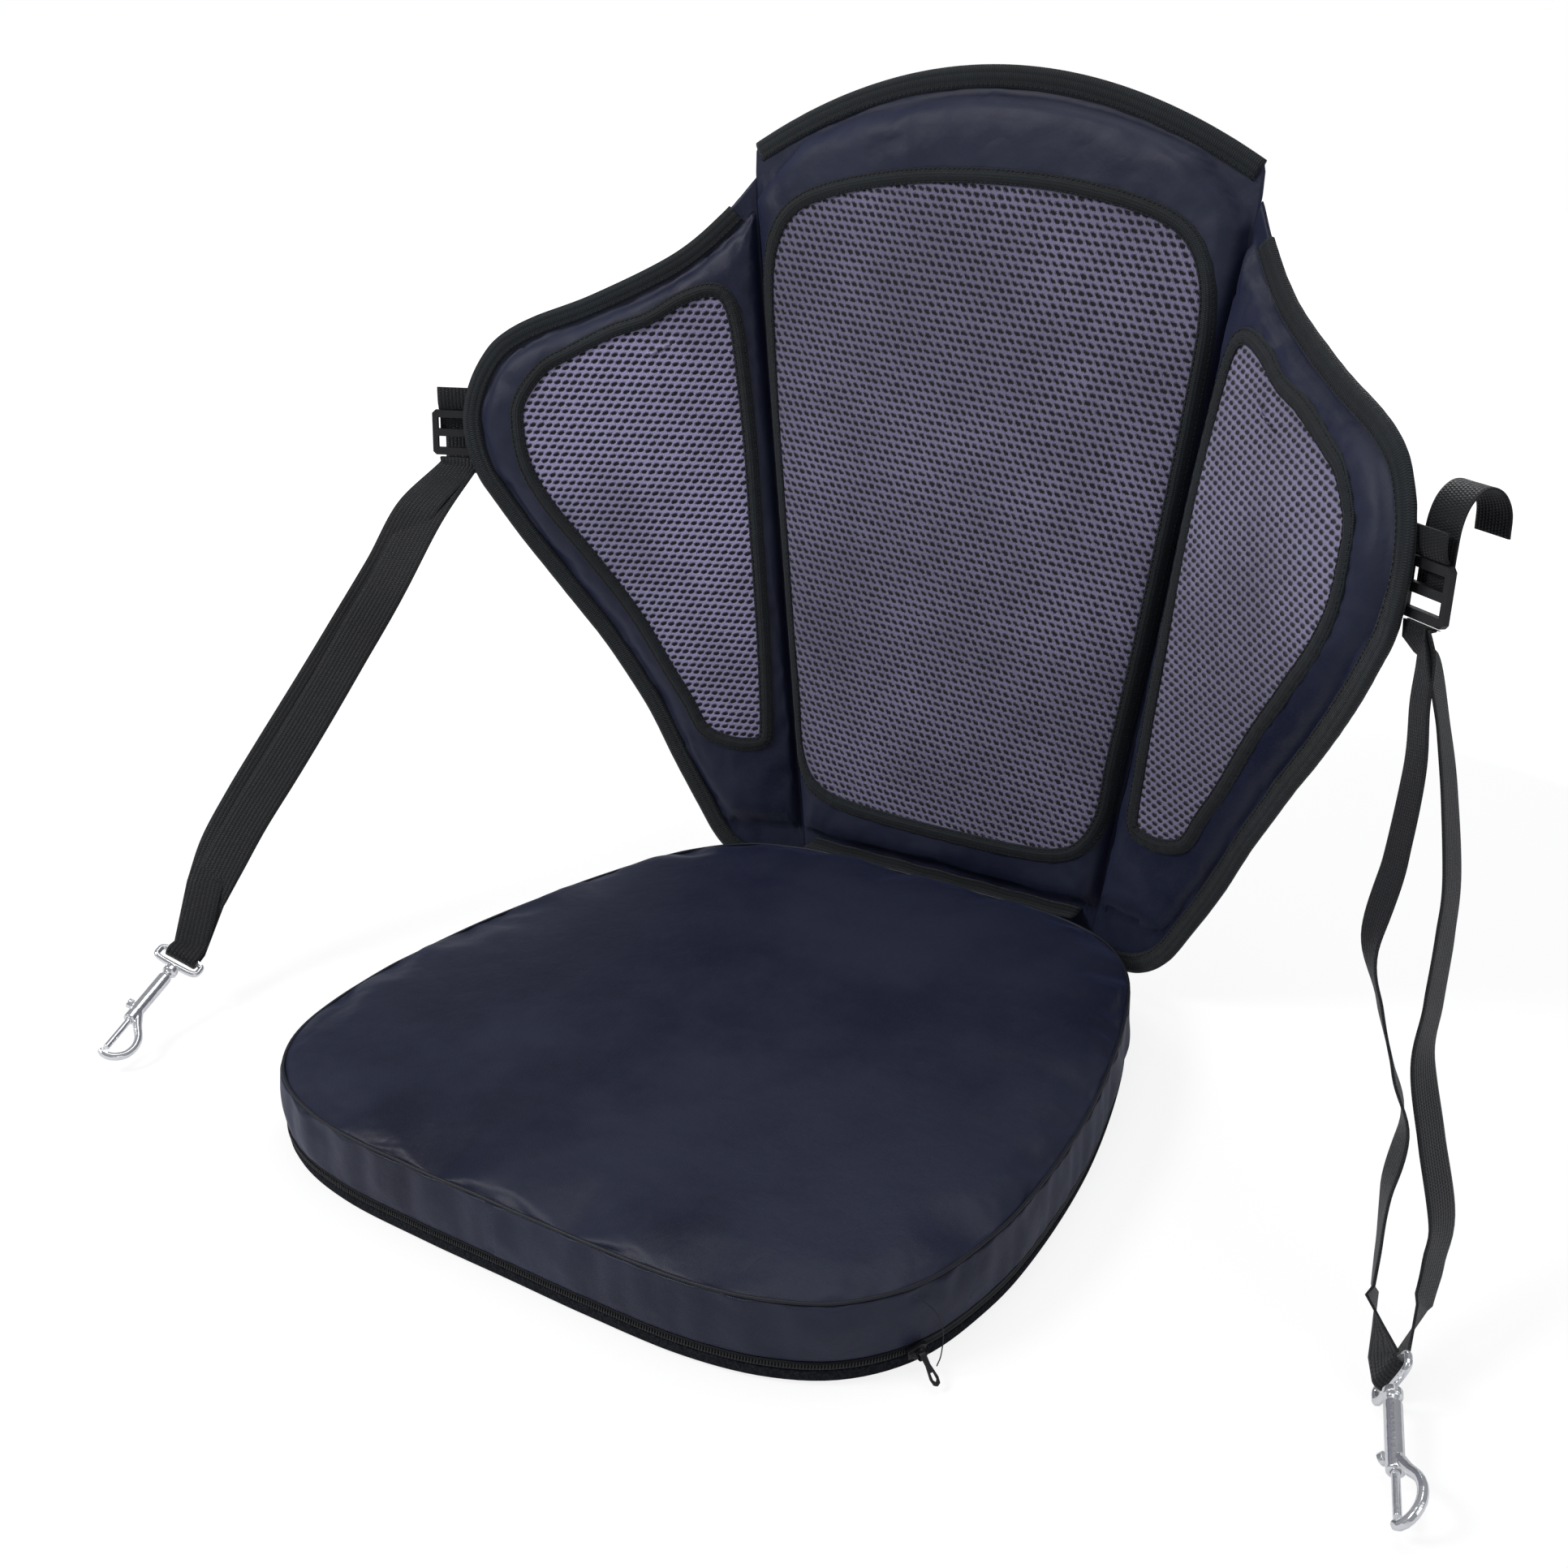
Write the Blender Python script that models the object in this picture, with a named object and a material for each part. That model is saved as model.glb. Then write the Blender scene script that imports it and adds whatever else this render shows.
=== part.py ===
"""Removable padded kayak seat: zipped foam cushion, three-panel winged back on a
sewn cloth hinge, and two webbing straps with swivel bolt-snap hooks.

Metres, +Z up. The origin is the middle of the cushion's underside, the seat
faces -Y, and left is the sitter's left, which is +X.
"""
import math

import bmesh
import bpy
import numpy as np
from mathutils import Matrix, Vector

for ob in list(bpy.data.objects):
    bpy.data.objects.remove(ob, do_unlink=True)

# Clearances
GAP = 0.0003            # between pieces that touch on the real seat

# Cushion
SEAT_WIDTH = 0.400
SEAT_DEPTH = 0.404
SEAT_THICK = 0.045      # floor to the top seam
SEAT_CROWN = 0.006      # rise of the top panel's middle over its seam
SIDE_BULGE = 0.0028     # side band's belly beyond the seam line
COVER_THICK = 0.0010
BASE_RIM_H = 0.0080     # rough base panel turned up round the cushion
ZIP_H = 0.0040
ZIP_TOOTH_H = 0.0022
ZIP_TOOTH_OUT = 0.0011
SLIDER_LENGTH = 0.0100
ZIP_SLIDER_ANGLE = -38.8  # bearing of the slider round the cushion, from +X
ZIP_START_ANGLE = 160.0   # where the closed chain begins, behind the right rear corner
SLIDER_WIDTH = 0.0068
SLIDER_THICK = 0.0022
BRIDGE_OUT = 0.0026       # bridge bar's axis above the slider's face
BRIDGE_WIRE = 0.0012
BRIDGE_SPAN = 0.0072
PULL_LENGTH = 0.0140
PULL_WIDTH = 0.0044
PULL_THICK = 0.0008
PULL_TILT = math.radians(36.0)
SEAT_POINTS = 40
TOP_RINGS = (0.94, 0.80, 0.55, 0.28)  # rings of the crown, as shares of the outline

# Back
BACK_LEAN = math.radians(3.1)
BACK_GAP_Y = 0.0190     # cushion's rear edge to the back's sewn edge line
BACK_TAIL = 0.034       # bound edge hanging below the cushion's top seam
CENTRE_BOTTOM_HALF = 0.1040
CENTRE_TOP_HALF = 0.1560
CENTRE_NOTCH_S = 0.407
ARC_END_S = 0.425
ARC_TOP_S = 0.4695
PAD_FRONT_CENTRE = 0.0120
PAD_FRONT_WING = 0.0090
PAD_REAR = 0.0080
PAD_ROUND = 0.014
PAD_LOW = 0.002         # padding's lowest line above the cushion's top seam
PAD_TOP_IN = 0.0145     # padding stops short of the bound top edge
PAD_CORNER = 0.016
CENTRE_PAD_SIDE = 0.0022
WING_PAD_IN = 0.0135
WING_PAD_SIDE = 0.0030
WING_PAD_LOW = 0.004
SHEET = 0.0010          # thickness of each cover sheet
WING_SPAN = 0.195       # groove to outer edge, along the cloth
WING_STATIONS = 29
WING_TURN_LOW = math.radians(22.0)
# each wing's forward fold at its top, and the height over which it grows from the low one
WING_FOLD = {1: (math.radians(40.5), 0.25), -1: (math.radians(30.0), 0.25)}
TRIM_HALF = 0.0043
TRIM_THICK = 0.0008
BIND_IN = 0.0105
BIND_OUT = 0.0014
BIND_THICK = 0.0008
SEAM_GAP = 0.0011

# Hinge
HINGE_HALF_WIDTH = 0.095
HINGE_STRIP = 0.0010
HINGE_DROP = 0.0042       # strip's middle below the cushion's top seam
HINGE_Z = 0.0475

# Webbing
WEB_WIDTH = 0.025
WEB_THICK = 0.0014
TAIL_STATIONS = 14
WEB_SLACK = 0.0010        # between the webbing and the eye bar
WEB_EYE_WIDTH = 0.0190   # webbing cupped where it runs through the eye

# Snap hook
EYE_WIDTH = 0.0300
EYE_LENGTH = 0.0125
EYE_WIRE = 0.0036
STEM_DIA = 0.0036
STEM_RUN = 0.0030        # stem inside the collar
SWIVEL_CLEAR = 0.0003
COLLAR_DIA = 0.0086
COLLAR_LENGTH = 0.0050
BARREL_DIA = 0.0078
BARREL_END = 0.0560      # from the eye's outer end
BOLT_DIA = 0.0036
BOLT_CLEAR = 0.0003
BOLT_BACK = 0.0350
BOLT_TRAVEL = 0.0120
ARM_DIA = 0.0046
ARM_REACH = 0.0125
HOOK_LENGTH = 0.0840
KNOB_DIA = 0.0056
KNOB_THICK = 0.0026
KNOB_OUT = 0.0018

# Adjuster
ADJ_WIDTH = 0.0330
ADJ_HEIGHT = 0.0280
ADJ_THICK = 0.0034
ADJ_BAR = 0.0046
ADJ_SIDE = 0.0035
ADJ_CORNER = 0.0020
LOCK_S = 0.272           # height along the back where the patch is sewn
LOCK_OUT = 0.0045        # patch's middle beyond the wing's edge
LOCK_BACK = 0.0025       # lock set back from the bound edge
ANCHOR_SEAT = 0.0007
ANCHOR_RISE = 0.0045
ANCHOR_DROP = 0.0095

HALF_W = SEAT_WIDTH / 2
HALF_D = SEAT_DEPTH / 2
BACK_Y = HALF_D + BACK_GAP_Y       # sewn edge line of the back at the top seam
BACK_Z = SEAT_THICK
HINGE_Y = HALF_D + 0.0065

COLOURS = {
    "nylon": (0.012, 0.014, 0.033, 1), "foam": (0.35, 0.36, 0.38, 1),
    "mesh": (0.12, 0.11, 0.18, 1), "tape": (0.010, 0.013, 0.018, 1),
    "web": (0.006, 0.007, 0.010, 1), "metal": (0.80, 0.81, 0.83, 1),
    "plastic": (0.010, 0.010, 0.012, 1), "base": (0.008, 0.009, 0.012, 1),
}
METAL = {"metal"}


def material(name):
    mat = bpy.data.materials.get(name)
    if mat is None:
        mat = bpy.data.materials.new(name)
        mat.use_nodes = True
        shader = mat.node_tree.nodes["Principled BSDF"]
        shader.inputs["Base Color"].default_value = COLOURS[name]
        shader.inputs["Metallic"].default_value = 1.0 if name in METAL else 0.0
        shader.inputs["Roughness"].default_value = 0.2 if name in METAL else 0.75
    return mat


def mesh_object(name, verts, faces, mat):
    mesh = bpy.data.meshes.new(name)
    mesh.from_pydata([tuple(map(float, v)) for v in verts], [], faces)
    bm = bmesh.new()
    bm.from_mesh(mesh)
    bmesh.ops.recalc_face_normals(bm, faces=bm.faces)
    if bm.calc_volume(signed=True) < 0:
        bmesh.ops.reverse_faces(bm, faces=bm.faces)
    bm.to_mesh(mesh)
    bm.free()
    mesh.materials.append(material(mat))
    obj = bpy.data.objects.new(name, mesh)
    bpy.context.collection.objects.link(obj)
    return obj


# Plane shapes
def smooth(points, count, closed=False):
    """Evenly spaced points of a Catmull-Rom curve through the given points."""
    p = np.array(points, float)
    if closed:
        q = np.vstack([p[-1], p, p[0], p[1]])
    else:
        q = np.vstack([2 * p[0] - p[1], p, 2 * p[-1] - p[-2]])
    out = []
    for i in range(1, len(q) - 2):
        for t in np.linspace(0, 1, 16, endpoint=False):
            a, b, c, d = q[i - 1], q[i], q[i + 1], q[i + 2]
            out.append(0.5 * (2 * b + (c - a) * t + (2 * a - 5 * b + 4 * c - d) * t * t
                              + (3 * b - a - 3 * c + d) * t ** 3))
    out.append(q[-2])
    return even(np.array(out), count, closed)


def even(poly, count, closed=False):
    """The polyline sampled at even spacing; a closed one leaves out its end."""
    seg = np.linalg.norm(np.diff(poly[:, :3], axis=0), axis=1)
    run = np.concatenate([[0], np.cumsum(seg)])
    at = np.linspace(0, run[-1], count + 1)[:-1] if closed else np.linspace(0, run[-1], count)
    return np.stack([np.interp(at, run, poly[:, k]) for k in range(poly.shape[1])], 1)


def normals(loop):
    """Outward unit normals of a closed anticlockwise loop."""
    d = np.roll(loop, -1, 0) - np.roll(loop, 1, 0)
    n = np.stack([d[:, 1], -d[:, 0]], 1)
    return n / np.maximum(np.linalg.norm(n, axis=1), 1e-9)[:, None]


def cast(loop, centre, angles):
    """Distance from the centre to the closed loop along each angle."""
    a = loop - centre
    b = np.roll(a, -1, 0)
    out = []
    for ang in angles:
        d = np.array([math.cos(ang), math.sin(ang)])
        ca = a[:, 0] * d[1] - a[:, 1] * d[0]
        cb = b[:, 0] * d[1] - b[:, 1] * d[0]
        hit = (ca * cb <= 0) & (np.abs(ca - cb) > 1e-12)
        t = ca[hit] / (ca[hit] - cb[hit])
        p = a[hit] + t[:, None] * (b[hit] - a[hit])
        out.append((p @ d).max())
    return np.array(out)


def gap_to(loop, pts):
    """Distance of each point to the closed loop."""
    a = loop
    d = np.roll(loop, -1, 0) - a
    t = np.clip(((pts[:, None] - a) * d).sum(-1) / np.maximum((d * d).sum(-1), 1e-12), 0, 1)
    return np.linalg.norm(pts[:, None] - a - t[..., None] * d, axis=-1).min(1)


def inset(loop, amount):
    """The loop moved inward, kept simple enough for these smooth outlines."""
    return loop - normals(loop) * amount


# Cushion
SEAT_SHAPE = [(0, -1.0), (0.25, -1.0), (0.50, -0.990), (0.70, -0.945), (0.85, -0.855),
              (0.95, -0.705), (0.993, -0.50), (1.0, -0.29), (0.975, 0.01), (0.92, 0.30),
              (0.845, 0.57), (0.755, 0.775), (0.62, 0.92), (0.44, 0.985), (0.22, 1.0)]


def seat_outline(count):
    half = [(a * HALF_W, b * HALF_D) for a, b in SEAT_SHAPE]
    ring = half + [(0, HALF_D)] + [(-x, y) for x, y in reversed(half[1:])]
    return smooth(ring, count, closed=True)


OUTLINE = seat_outline(SEAT_POINTS)
OUT_N = normals(OUTLINE)


def ring_at(offset, z):
    p = OUTLINE + OUT_N * offset
    return np.column_stack([p, np.full(len(p), z)])


def stack(name, rings, mat, cap_start=None, cap_end=None, cyclic=False):
    """A closed solid from rings of equal count, capped to a point or joined up."""
    n = len(rings[0])
    verts = [v for ring in rings for v in ring]
    faces = []
    m = len(rings)
    for k in range(m if cyclic else m - 1):
        a, b = k * n, ((k + 1) % m) * n
        for i in range(n):
            j = (i + 1) % n
            faces += [(a + i, a + j, b + j), (a + i, b + j, b + i)]
    for cap, base in ((cap_start, 0), (cap_end, (m - 1) * n)):
        if cap is not None:
            c = len(verts)
            verts.append(cap)
            faces += [(base + i, base + (i + 1) % n, c) for i in range(n)]
    return mesh_object(name, verts, faces, mat)


def seat_top(f):
    """Height of the top panel's outer face at a share f of the way to the seam."""
    return SEAT_THICK + SEAT_CROWN * (1 - f ** 2.6)


def scaled(f, z):
    return np.column_stack([OUTLINE * f, np.full(SEAT_POINTS, z)])


def band_belly(z):
    """How far the side band's outer face stands beyond the seam line at height z."""
    low, high = BASE_RIM_H + ZIP_H + 2 * GAP, SEAT_THICK - COVER_THICK - GAP
    return SIDE_BULGE * math.sin(math.pi * (0.12 + 0.80 * (z - low) / (high - low)))


def build_cushion():
    z_zip0 = BASE_RIM_H + GAP
    z_zip1 = z_zip0 + ZIP_H
    z_band0 = z_zip1 + GAP
    z_band1 = SEAT_THICK - COVER_THICK - GAP
    # top panel: crowned sheet that ends on the seam
    fs = (1.0,) + TOP_RINGS
    top = [scaled(f, seat_top(f)) for f in fs]
    under = [scaled(f, seat_top(f) - COVER_THICK) for f in reversed(fs)]
    apex = (0, 0, seat_top(0))
    n = SEAT_POINTS
    rings = under + top
    verts = [v for r in rings for v in r]
    faces = []
    for k in range(len(rings) - 1):
        for i in range(n):
            j = (i + 1) % n
            a, b = k * n, (k + 1) * n
            faces += [(a + i, a + j, b + j), (a + i, b + j, b + i)]
    lo, hi = len(verts), len(verts) + 1
    verts += [(0, 0, apex[2] - COVER_THICK), apex]
    last = (len(rings) - 1) * n
    faces += [(i, (i + 1) % n, lo) for i in range(n)]
    faces += [(last + i, last + (i + 1) % n, hi) for i in range(n)]
    mesh_object("seat_top_panel", verts, faces, "nylon")

    # side band: bellied wall between the zip and the top seam
    zs = np.linspace(z_band0, z_band1, 4)
    outer = [ring_at(band_belly(z), z) for z in zs]
    inner = [ring_at(band_belly(z) - COVER_THICK, z) for z in zs][::-1]
    stack("seat_side_band", outer + inner, "nylon", cyclic=True)

    # base panel: flat rough sheet with its rim turned up
    rim = 0.0004
    base_out = [ring_at(-0.0025, 0.0), ring_at(rim - 0.0006, 0.0016), ring_at(rim, BASE_RIM_H)]
    base_in = [ring_at(rim - COVER_THICK, BASE_RIM_H), ring_at(rim - COVER_THICK - 0.0006, 0.0026),
               ring_at(-0.0040, COVER_THICK)]
    stack("seat_base_panel", base_out + base_in, "base",
          cap_start=(0, 0, 0.0), cap_end=(0, 0, COVER_THICK))

    # zip: tape all round, tooth chain from the rear right round the front
    stack("zip_tape", [ring_at(0.0002, z_zip0), ring_at(0.0002, z_zip1),
                       ring_at(0.0002 - COVER_THICK, z_zip1),
                       ring_at(0.0002 - COVER_THICK, z_zip0)], "tape", cyclic=True)
    fine = seat_outline(2 * SEAT_POINTS)
    fn = normals(fine)
    ang = np.degrees(np.arctan2(fine[:, 1], fine[:, 0]))
    # slider stands at the front left corner; the chain runs clockwise from the right rear
    slider_i = int(np.argmin(np.abs(ang - ZIP_SLIDER_ANGLE)))
    start_i = int(np.argmin(np.abs(ang - ZIP_START_ANGLE)))
    idx = list(range(start_i, len(fine))) + list(range(0, slider_i)) \
        if start_i > slider_i else list(range(start_i, slider_i))
    idx += [slider_i, slider_i + 1]
    zc = (z_zip0 + z_zip1) / 2
    verts, faces = [], []
    half = ZIP_TOOTH_H / 2
    for c, i in enumerate(idx):
        out = ZIP_TOOTH_OUT if c % 2 else ZIP_TOOTH_OUT * 0.55
        for o, z in ((0.0002 + GAP, zc - half), (0.0002 + out, zc - half),
                     (0.0002 + out, zc + half), (0.0002 + GAP, zc + half)):
            p = fine[i] + fn[i] * o
            verts.append((p[0], p[1], z))
    for c in range(len(idx) - 1):
        a, b = c * 4, c * 4 + 4
        for k in range(4):
            j = (k + 1) % 4
            faces += [(a + k, a + j, b + j), (a + k, b + j, b + k)]
    e = (len(idx) - 1) * 4
    faces += [(0, 1, 2, 3), (e, e + 1, e + 2, e + 3)]
    mesh_object("zip_chain", verts, faces, "plastic")

    return fine[slider_i], fn[slider_i], zc


def frame_matrix(origin, x_axis, y_axis, z_axis):
    m = Matrix.Identity(4)
    for k, axis in enumerate((x_axis, y_axis, z_axis)):
        for r in range(3):
            m[r][k] = axis[r]
    for r in range(3):
        m[r][3] = origin[r]
    return m


def box(name, size, centre, mat, bevel=0.0):
    x, y, z = (s / 2 for s in size)
    verts = [(sx * x + centre[0], sy * y + centre[1], sz * z + centre[2])
             for sx in (-1, 1) for sy in (-1, 1) for sz in (-1, 1)]
    faces = [(0, 1, 3, 2), (4, 6, 7, 5), (0, 4, 5, 1), (2, 3, 7, 6), (0, 2, 6, 4), (1, 5, 7, 3)]
    obj = mesh_object(name, verts, faces, mat)
    if bevel:
        mod = obj.modifiers.new("edge", "BEVEL")
        mod.width = bevel
        mod.segments = 2
    return obj


def boolean(obj, cutter, operation):
    mod = obj.modifiers.new(operation.lower(), "BOOLEAN")
    mod.operation = operation
    mod.solver = "EXACT"
    mod.object = cutter
    cutter.hide_render = True
    cutter.display_type = "WIRE"
    return mod


def build_slider(p, nrm, zc):
    """Slider body with its bridge, and the pull whose rolled eye turns on the bridge bar."""
    out = Vector((nrm[0], nrm[1], 0))
    along = Vector((nrm[1], -nrm[0], 0))
    up = Vector((0, 0, 1))
    origin = Vector((p[0], p[1], zc)) + out * (ZIP_TOOTH_OUT + 2 * GAP)
    half, waist = SLIDER_LENGTH / 2, SLIDER_WIDTH / 2
    # the two lead-in lobes are wide, the end that has joined the chain is narrow
    shield = [(-half, -0.62 * waist), (-0.3 * half, -0.72 * waist), (0.45 * half, -waist),
              (half, -0.8 * waist), (0.72 * half, 0.0), (half, 0.8 * waist),
              (0.45 * half, waist), (-0.3 * half, 0.72 * waist), (-half, 0.62 * waist)]
    body = plate("zip_slider", shield, [], SLIDER_THICK, "metal")
    body.matrix_world = frame_matrix(origin + out * (SLIDER_THICK / 2), -along, up, out)
    bar_out = SLIDER_THICK + BRIDGE_OUT
    pivot = origin + out * bar_out
    wire = BRIDGE_WIRE / 2
    reach = BRIDGE_SPAN / 2
    bridge_pts = [(-reach - 0.0006, -bar_out + 0.0004), (-reach, -BRIDGE_OUT * 0.45),
                  (-reach + 0.0003, -0.0003), (-reach + 0.0009, 0.0), (reach - 0.0009, 0.0),
                  (reach - 0.0003, -0.0003), (reach, -BRIDGE_OUT * 0.45),
                  (reach + 0.0006, -bar_out + 0.0004)]
    bridge = tube("cut_bridge", bridge_pts, [wire] * len(bridge_pts), "metal", sides=8)
    bridge.matrix_world = frame_matrix(pivot, along, out, up)
    boolean(body, bridge, "UNION")
    # the pull's section is a rolled eye with a flat tongue, cut to its tapered outline
    eye_in = wire + 2 * GAP
    eye_out = eye_in + PULL_THICK
    t = PULL_THICK
    turn = [math.radians(a) for a in range(60, 361, 30)]
    section = [(0.9 * eye_in, eye_out), (PULL_LENGTH, eye_out), (PULL_LENGTH, eye_out - t),
               (eye_out * 1.1, eye_out - t)]
    section = [(eye_out * math.sin(a), eye_out * math.cos(a)) for a in turn] + section
    hole = [(eye_in * math.sin(a), eye_in * math.cos(a))
            for a in (2 * math.pi * k / 10 for k in range(10))]
    pull = plate("zip_pull", section, [hole], PULL_WIDTH, "metal")
    tip = PULL_WIDTH / 2
    outline = [(-eye_out * 1.5, -0.8 * tip), (0.0045, -0.55 * tip), (PULL_LENGTH - 0.0035, -tip),
               (PULL_LENGTH - 0.0008, -0.75 * tip), (PULL_LENGTH + 0.0001, 0.0),
               (PULL_LENGTH - 0.0008, 0.75 * tip), (PULL_LENGTH - 0.0035, tip),
               (0.0045, 0.55 * tip), (-eye_out * 1.5, 0.8 * tip)]
    window = [(PULL_LENGTH - 0.0018, 0.0), (PULL_LENGTH - 0.0030, 0.0009),
              (PULL_LENGTH - 0.0060, 0.0007), (PULL_LENGTH - 0.0060, -0.0007),
              (PULL_LENGTH - 0.0030, -0.0009)]
    blank = plate("cut_pull", outline, [window], 4 * eye_out, "metal")
    down = (out * math.cos(PULL_TILT) - up * math.sin(PULL_TILT)).normalized()
    face = along.cross(down)
    pull.matrix_world = frame_matrix(pivot, down, face, down.cross(face))
    blank.matrix_world = frame_matrix(pivot, down, -along, down.cross(-along))
    boolean(pull, blank, "INTERSECT")
    return pivot, along


def plate(name, loop, holes, thick, mat):
    """A flat plate extruded from an outline with holes, in its own XY plane."""
    bm = bmesh.new()
    edges = []
    for ring in [loop] + holes:
        vs = [bm.verts.new((x, y, -thick / 2)) for x, y in ring]
        edges += [bm.edges.new((vs[i], vs[(i + 1) % len(vs)])) for i in range(len(vs))]
    filled = bmesh.ops.triangle_fill(bm, edges=edges, use_beauty=True)
    faces = [g for g in filled["geom"] if isinstance(g, bmesh.types.BMFace)]
    ext = bmesh.ops.extrude_face_region(bm, geom=faces)
    bmesh.ops.translate(bm, vec=(0, 0, thick),
                        verts=[g for g in ext["geom"] if isinstance(g, bmesh.types.BMVert)])
    bmesh.ops.recalc_face_normals(bm, faces=bm.faces)
    mesh = bpy.data.meshes.new(name)
    bm.to_mesh(mesh)
    bm.free()
    mesh.materials.append(material(mat))
    obj = bpy.data.objects.new(name, mesh)
    bpy.context.collection.objects.link(obj)
    return obj


# Back surface
def groove_x(s):
    """Half width of the centre panel at height s along the back."""
    f = (s + 0.011) / (CENTRE_NOTCH_S + 0.011)
    return CENTRE_BOTTOM_HALF + (CENTRE_TOP_HALF - CENTRE_BOTTOM_HALF) * f


def wing_turn(s, side):
    """Forward fold of the wing on one side (1 left, -1 right) at height s."""
    high, reach = WING_FOLD[side]
    f = min(max((s - 0.02) / reach, 0.0), 1.0)
    f = f * f * (3 - 2 * f)
    return WING_TURN_LOW + (high - WING_TURN_LOW) * f


UP_S = np.array([0.0, math.sin(BACK_LEAN), math.cos(BACK_LEAN)])
FRONT = np.array([0.0, -math.cos(BACK_LEAN), math.sin(BACK_LEAN)])
BACK_ORIGIN = np.array([0.0, BACK_Y, BACK_Z])


def back_point(w, s, h):
    """Point of the back: w across the cloth from the middle, s up it, h to the front."""
    base = BACK_ORIGIN + UP_S * s
    g = groove_x(s)
    side = 1 if w >= 0 else -1
    u = abs(w) - g
    if u <= 0:
        return base + np.array([w, 0, 0]) + FRONT * h
    ang = wing_turn(s, side)
    x, y = u * math.cos(ang), u * math.sin(ang)
    across = np.array([side, 0, 0])
    normal = FRONT * math.cos(ang) - across * math.sin(ang)
    return base + across * (g + x) + FRONT * y + normal * h


def layer(name, rings, lo, hi, mat, centre=None):
    """Sheet or pad between two heights over shared rings, holed or closed to a centre."""
    n = len(rings[0])
    m = len(rings)
    verts, faces = [], []
    for level in (hi, lo):
        for ring in rings:
            verts += [back_point(w, s, level(w, s)) for w, s in ring]
    off = n * m
    for k in range(m - 1):
        for i in range(n):
            j = (i + 1) % n
            a, b = k * n, (k + 1) * n
            faces += [(a + i, a + j, b + j), (a + i, b + j, b + i)]
            faces += [(off + a + i, off + b + j, off + a + j), (off + a + i, off + b + i, off + b + j)]
    for i in range(n):
        j = (i + 1) % n
        faces += [(i, off + i, off + j), (i, off + j, j)]
    last = (m - 1) * n
    if centre is None:
        for i in range(n):
            j = (i + 1) % n
            faces += [(last + i, last + j, off + last + j), (last + i, off + last + j, off + last + i)]
    else:
        c = len(verts)
        verts += [back_point(*centre, hi(*centre)), back_point(*centre, lo(*centre))]
        for i in range(n):
            j = (i + 1) % n
            faces += [(last + i, last + j, c), (off + last + j, off + last + i, c + 1)]
    return mesh_object(name, verts, faces, mat)


def arc_s(x):
    k = (ARC_TOP_S - ARC_END_S) / CENTRE_TOP_HALF ** 2
    return ARC_TOP_S - k * x * x


def centre_loop(count):
    """Edge of the centre panel, anticlockwise from the bottom middle."""
    g = SEAM_GAP / 2
    bottom = [(-groove_x(-BACK_TAIL) + g, -BACK_TAIL), (groove_x(-BACK_TAIL) - g, -BACK_TAIL)]
    side = [(groove_x(s) - g, s) for s in np.linspace(-BACK_TAIL, CENTRE_NOTCH_S, count[1] + 1)]
    top = [(x, arc_s(x)) for x in np.linspace(CENTRE_TOP_HALF - g, -CENTRE_TOP_HALF + g, count[2] + 1)]
    pts = list(even(np.array(bottom), count[0] + 1))[:-1]
    pts += side[:-1] + [side[-1]] + top[:-1] + [top[-1]]
    pts += [(-x, s) for x, s in reversed(side)][:-1]
    return np.array([tuple(p) for p in pts])


def mirror_half(half):
    """A closed anticlockwise loop from its right half, bottom middle to top middle."""
    return half + [(-x, s) for x, s in reversed(half) if abs(x) > 1e-9]


# window outlines: share of the half width at that height, height along the back
CENTRE_WINDOW = [(0, 0.0265), (0.46, 0.0275), (0.732, 0.031), (0.874, 0.041), (0.942, 0.062),
                 (0.939, 0.095), (0.946, 0.16), (0.947, 0.235), (0.943, 0.3), (0.931, 0.345),
                 (0.887, 0.372), (0.792, 0.391), (0.618, 0.4025), (0.319, 0.411), (0, 0.4135)]
# wing shape: cloth distance from the groove as a share of the span, height along the back
WING_EDGE = [(0.0, -0.032), (0.113, -0.0315), (0.220, -0.026), (0.302, -0.012), (0.366, 0.0125),
             (0.433, 0.041), (0.493, 0.070), (0.545, 0.090), (0.626, 0.1175), (0.702, 0.139),
             (0.787, 0.163), (0.865, 0.1855), (0.932, 0.207), (0.975, 0.222), (0.998, 0.2395),
             (1.0, 0.259), (0.966, 0.280), (0.906, 0.2985), (0.841, 0.310), (0.737, 0.3205),
             (0.542, 0.335), (0.278, 0.360), (0.113, 0.3845), (0.0, 0.407)]
WING_WINDOW = [(0.105, 0.0620), (0.154, 0.0580), (0.231, 0.0585), (0.310, 0.0655), (0.356, 0.084),
               (0.412, 0.104), (0.510, 0.141), (0.633, 0.176), (0.750, 0.207), (0.811, 0.232),
               (0.822, 0.2575), (0.802, 0.2735), (0.723, 0.292), (0.642, 0.301), (0.491, 0.3155),
               (0.374, 0.3235), (0.267, 0.3355), (0.174, 0.3420), (0.121, 0.3385), (0.096, 0.325),
               (0.086, 0.297), (0.079, 0.247), (0.081, 0.200), (0.081, 0.165), (0.084, 0.120),
               (0.092, 0.078)]


def wing_xy(table, side):
    pts = [(side * (groove_x(s) + SEAM_GAP / 2 + u * WING_SPAN), s) for u, s in table]
    return pts if side > 0 else pts[::-1]


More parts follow.
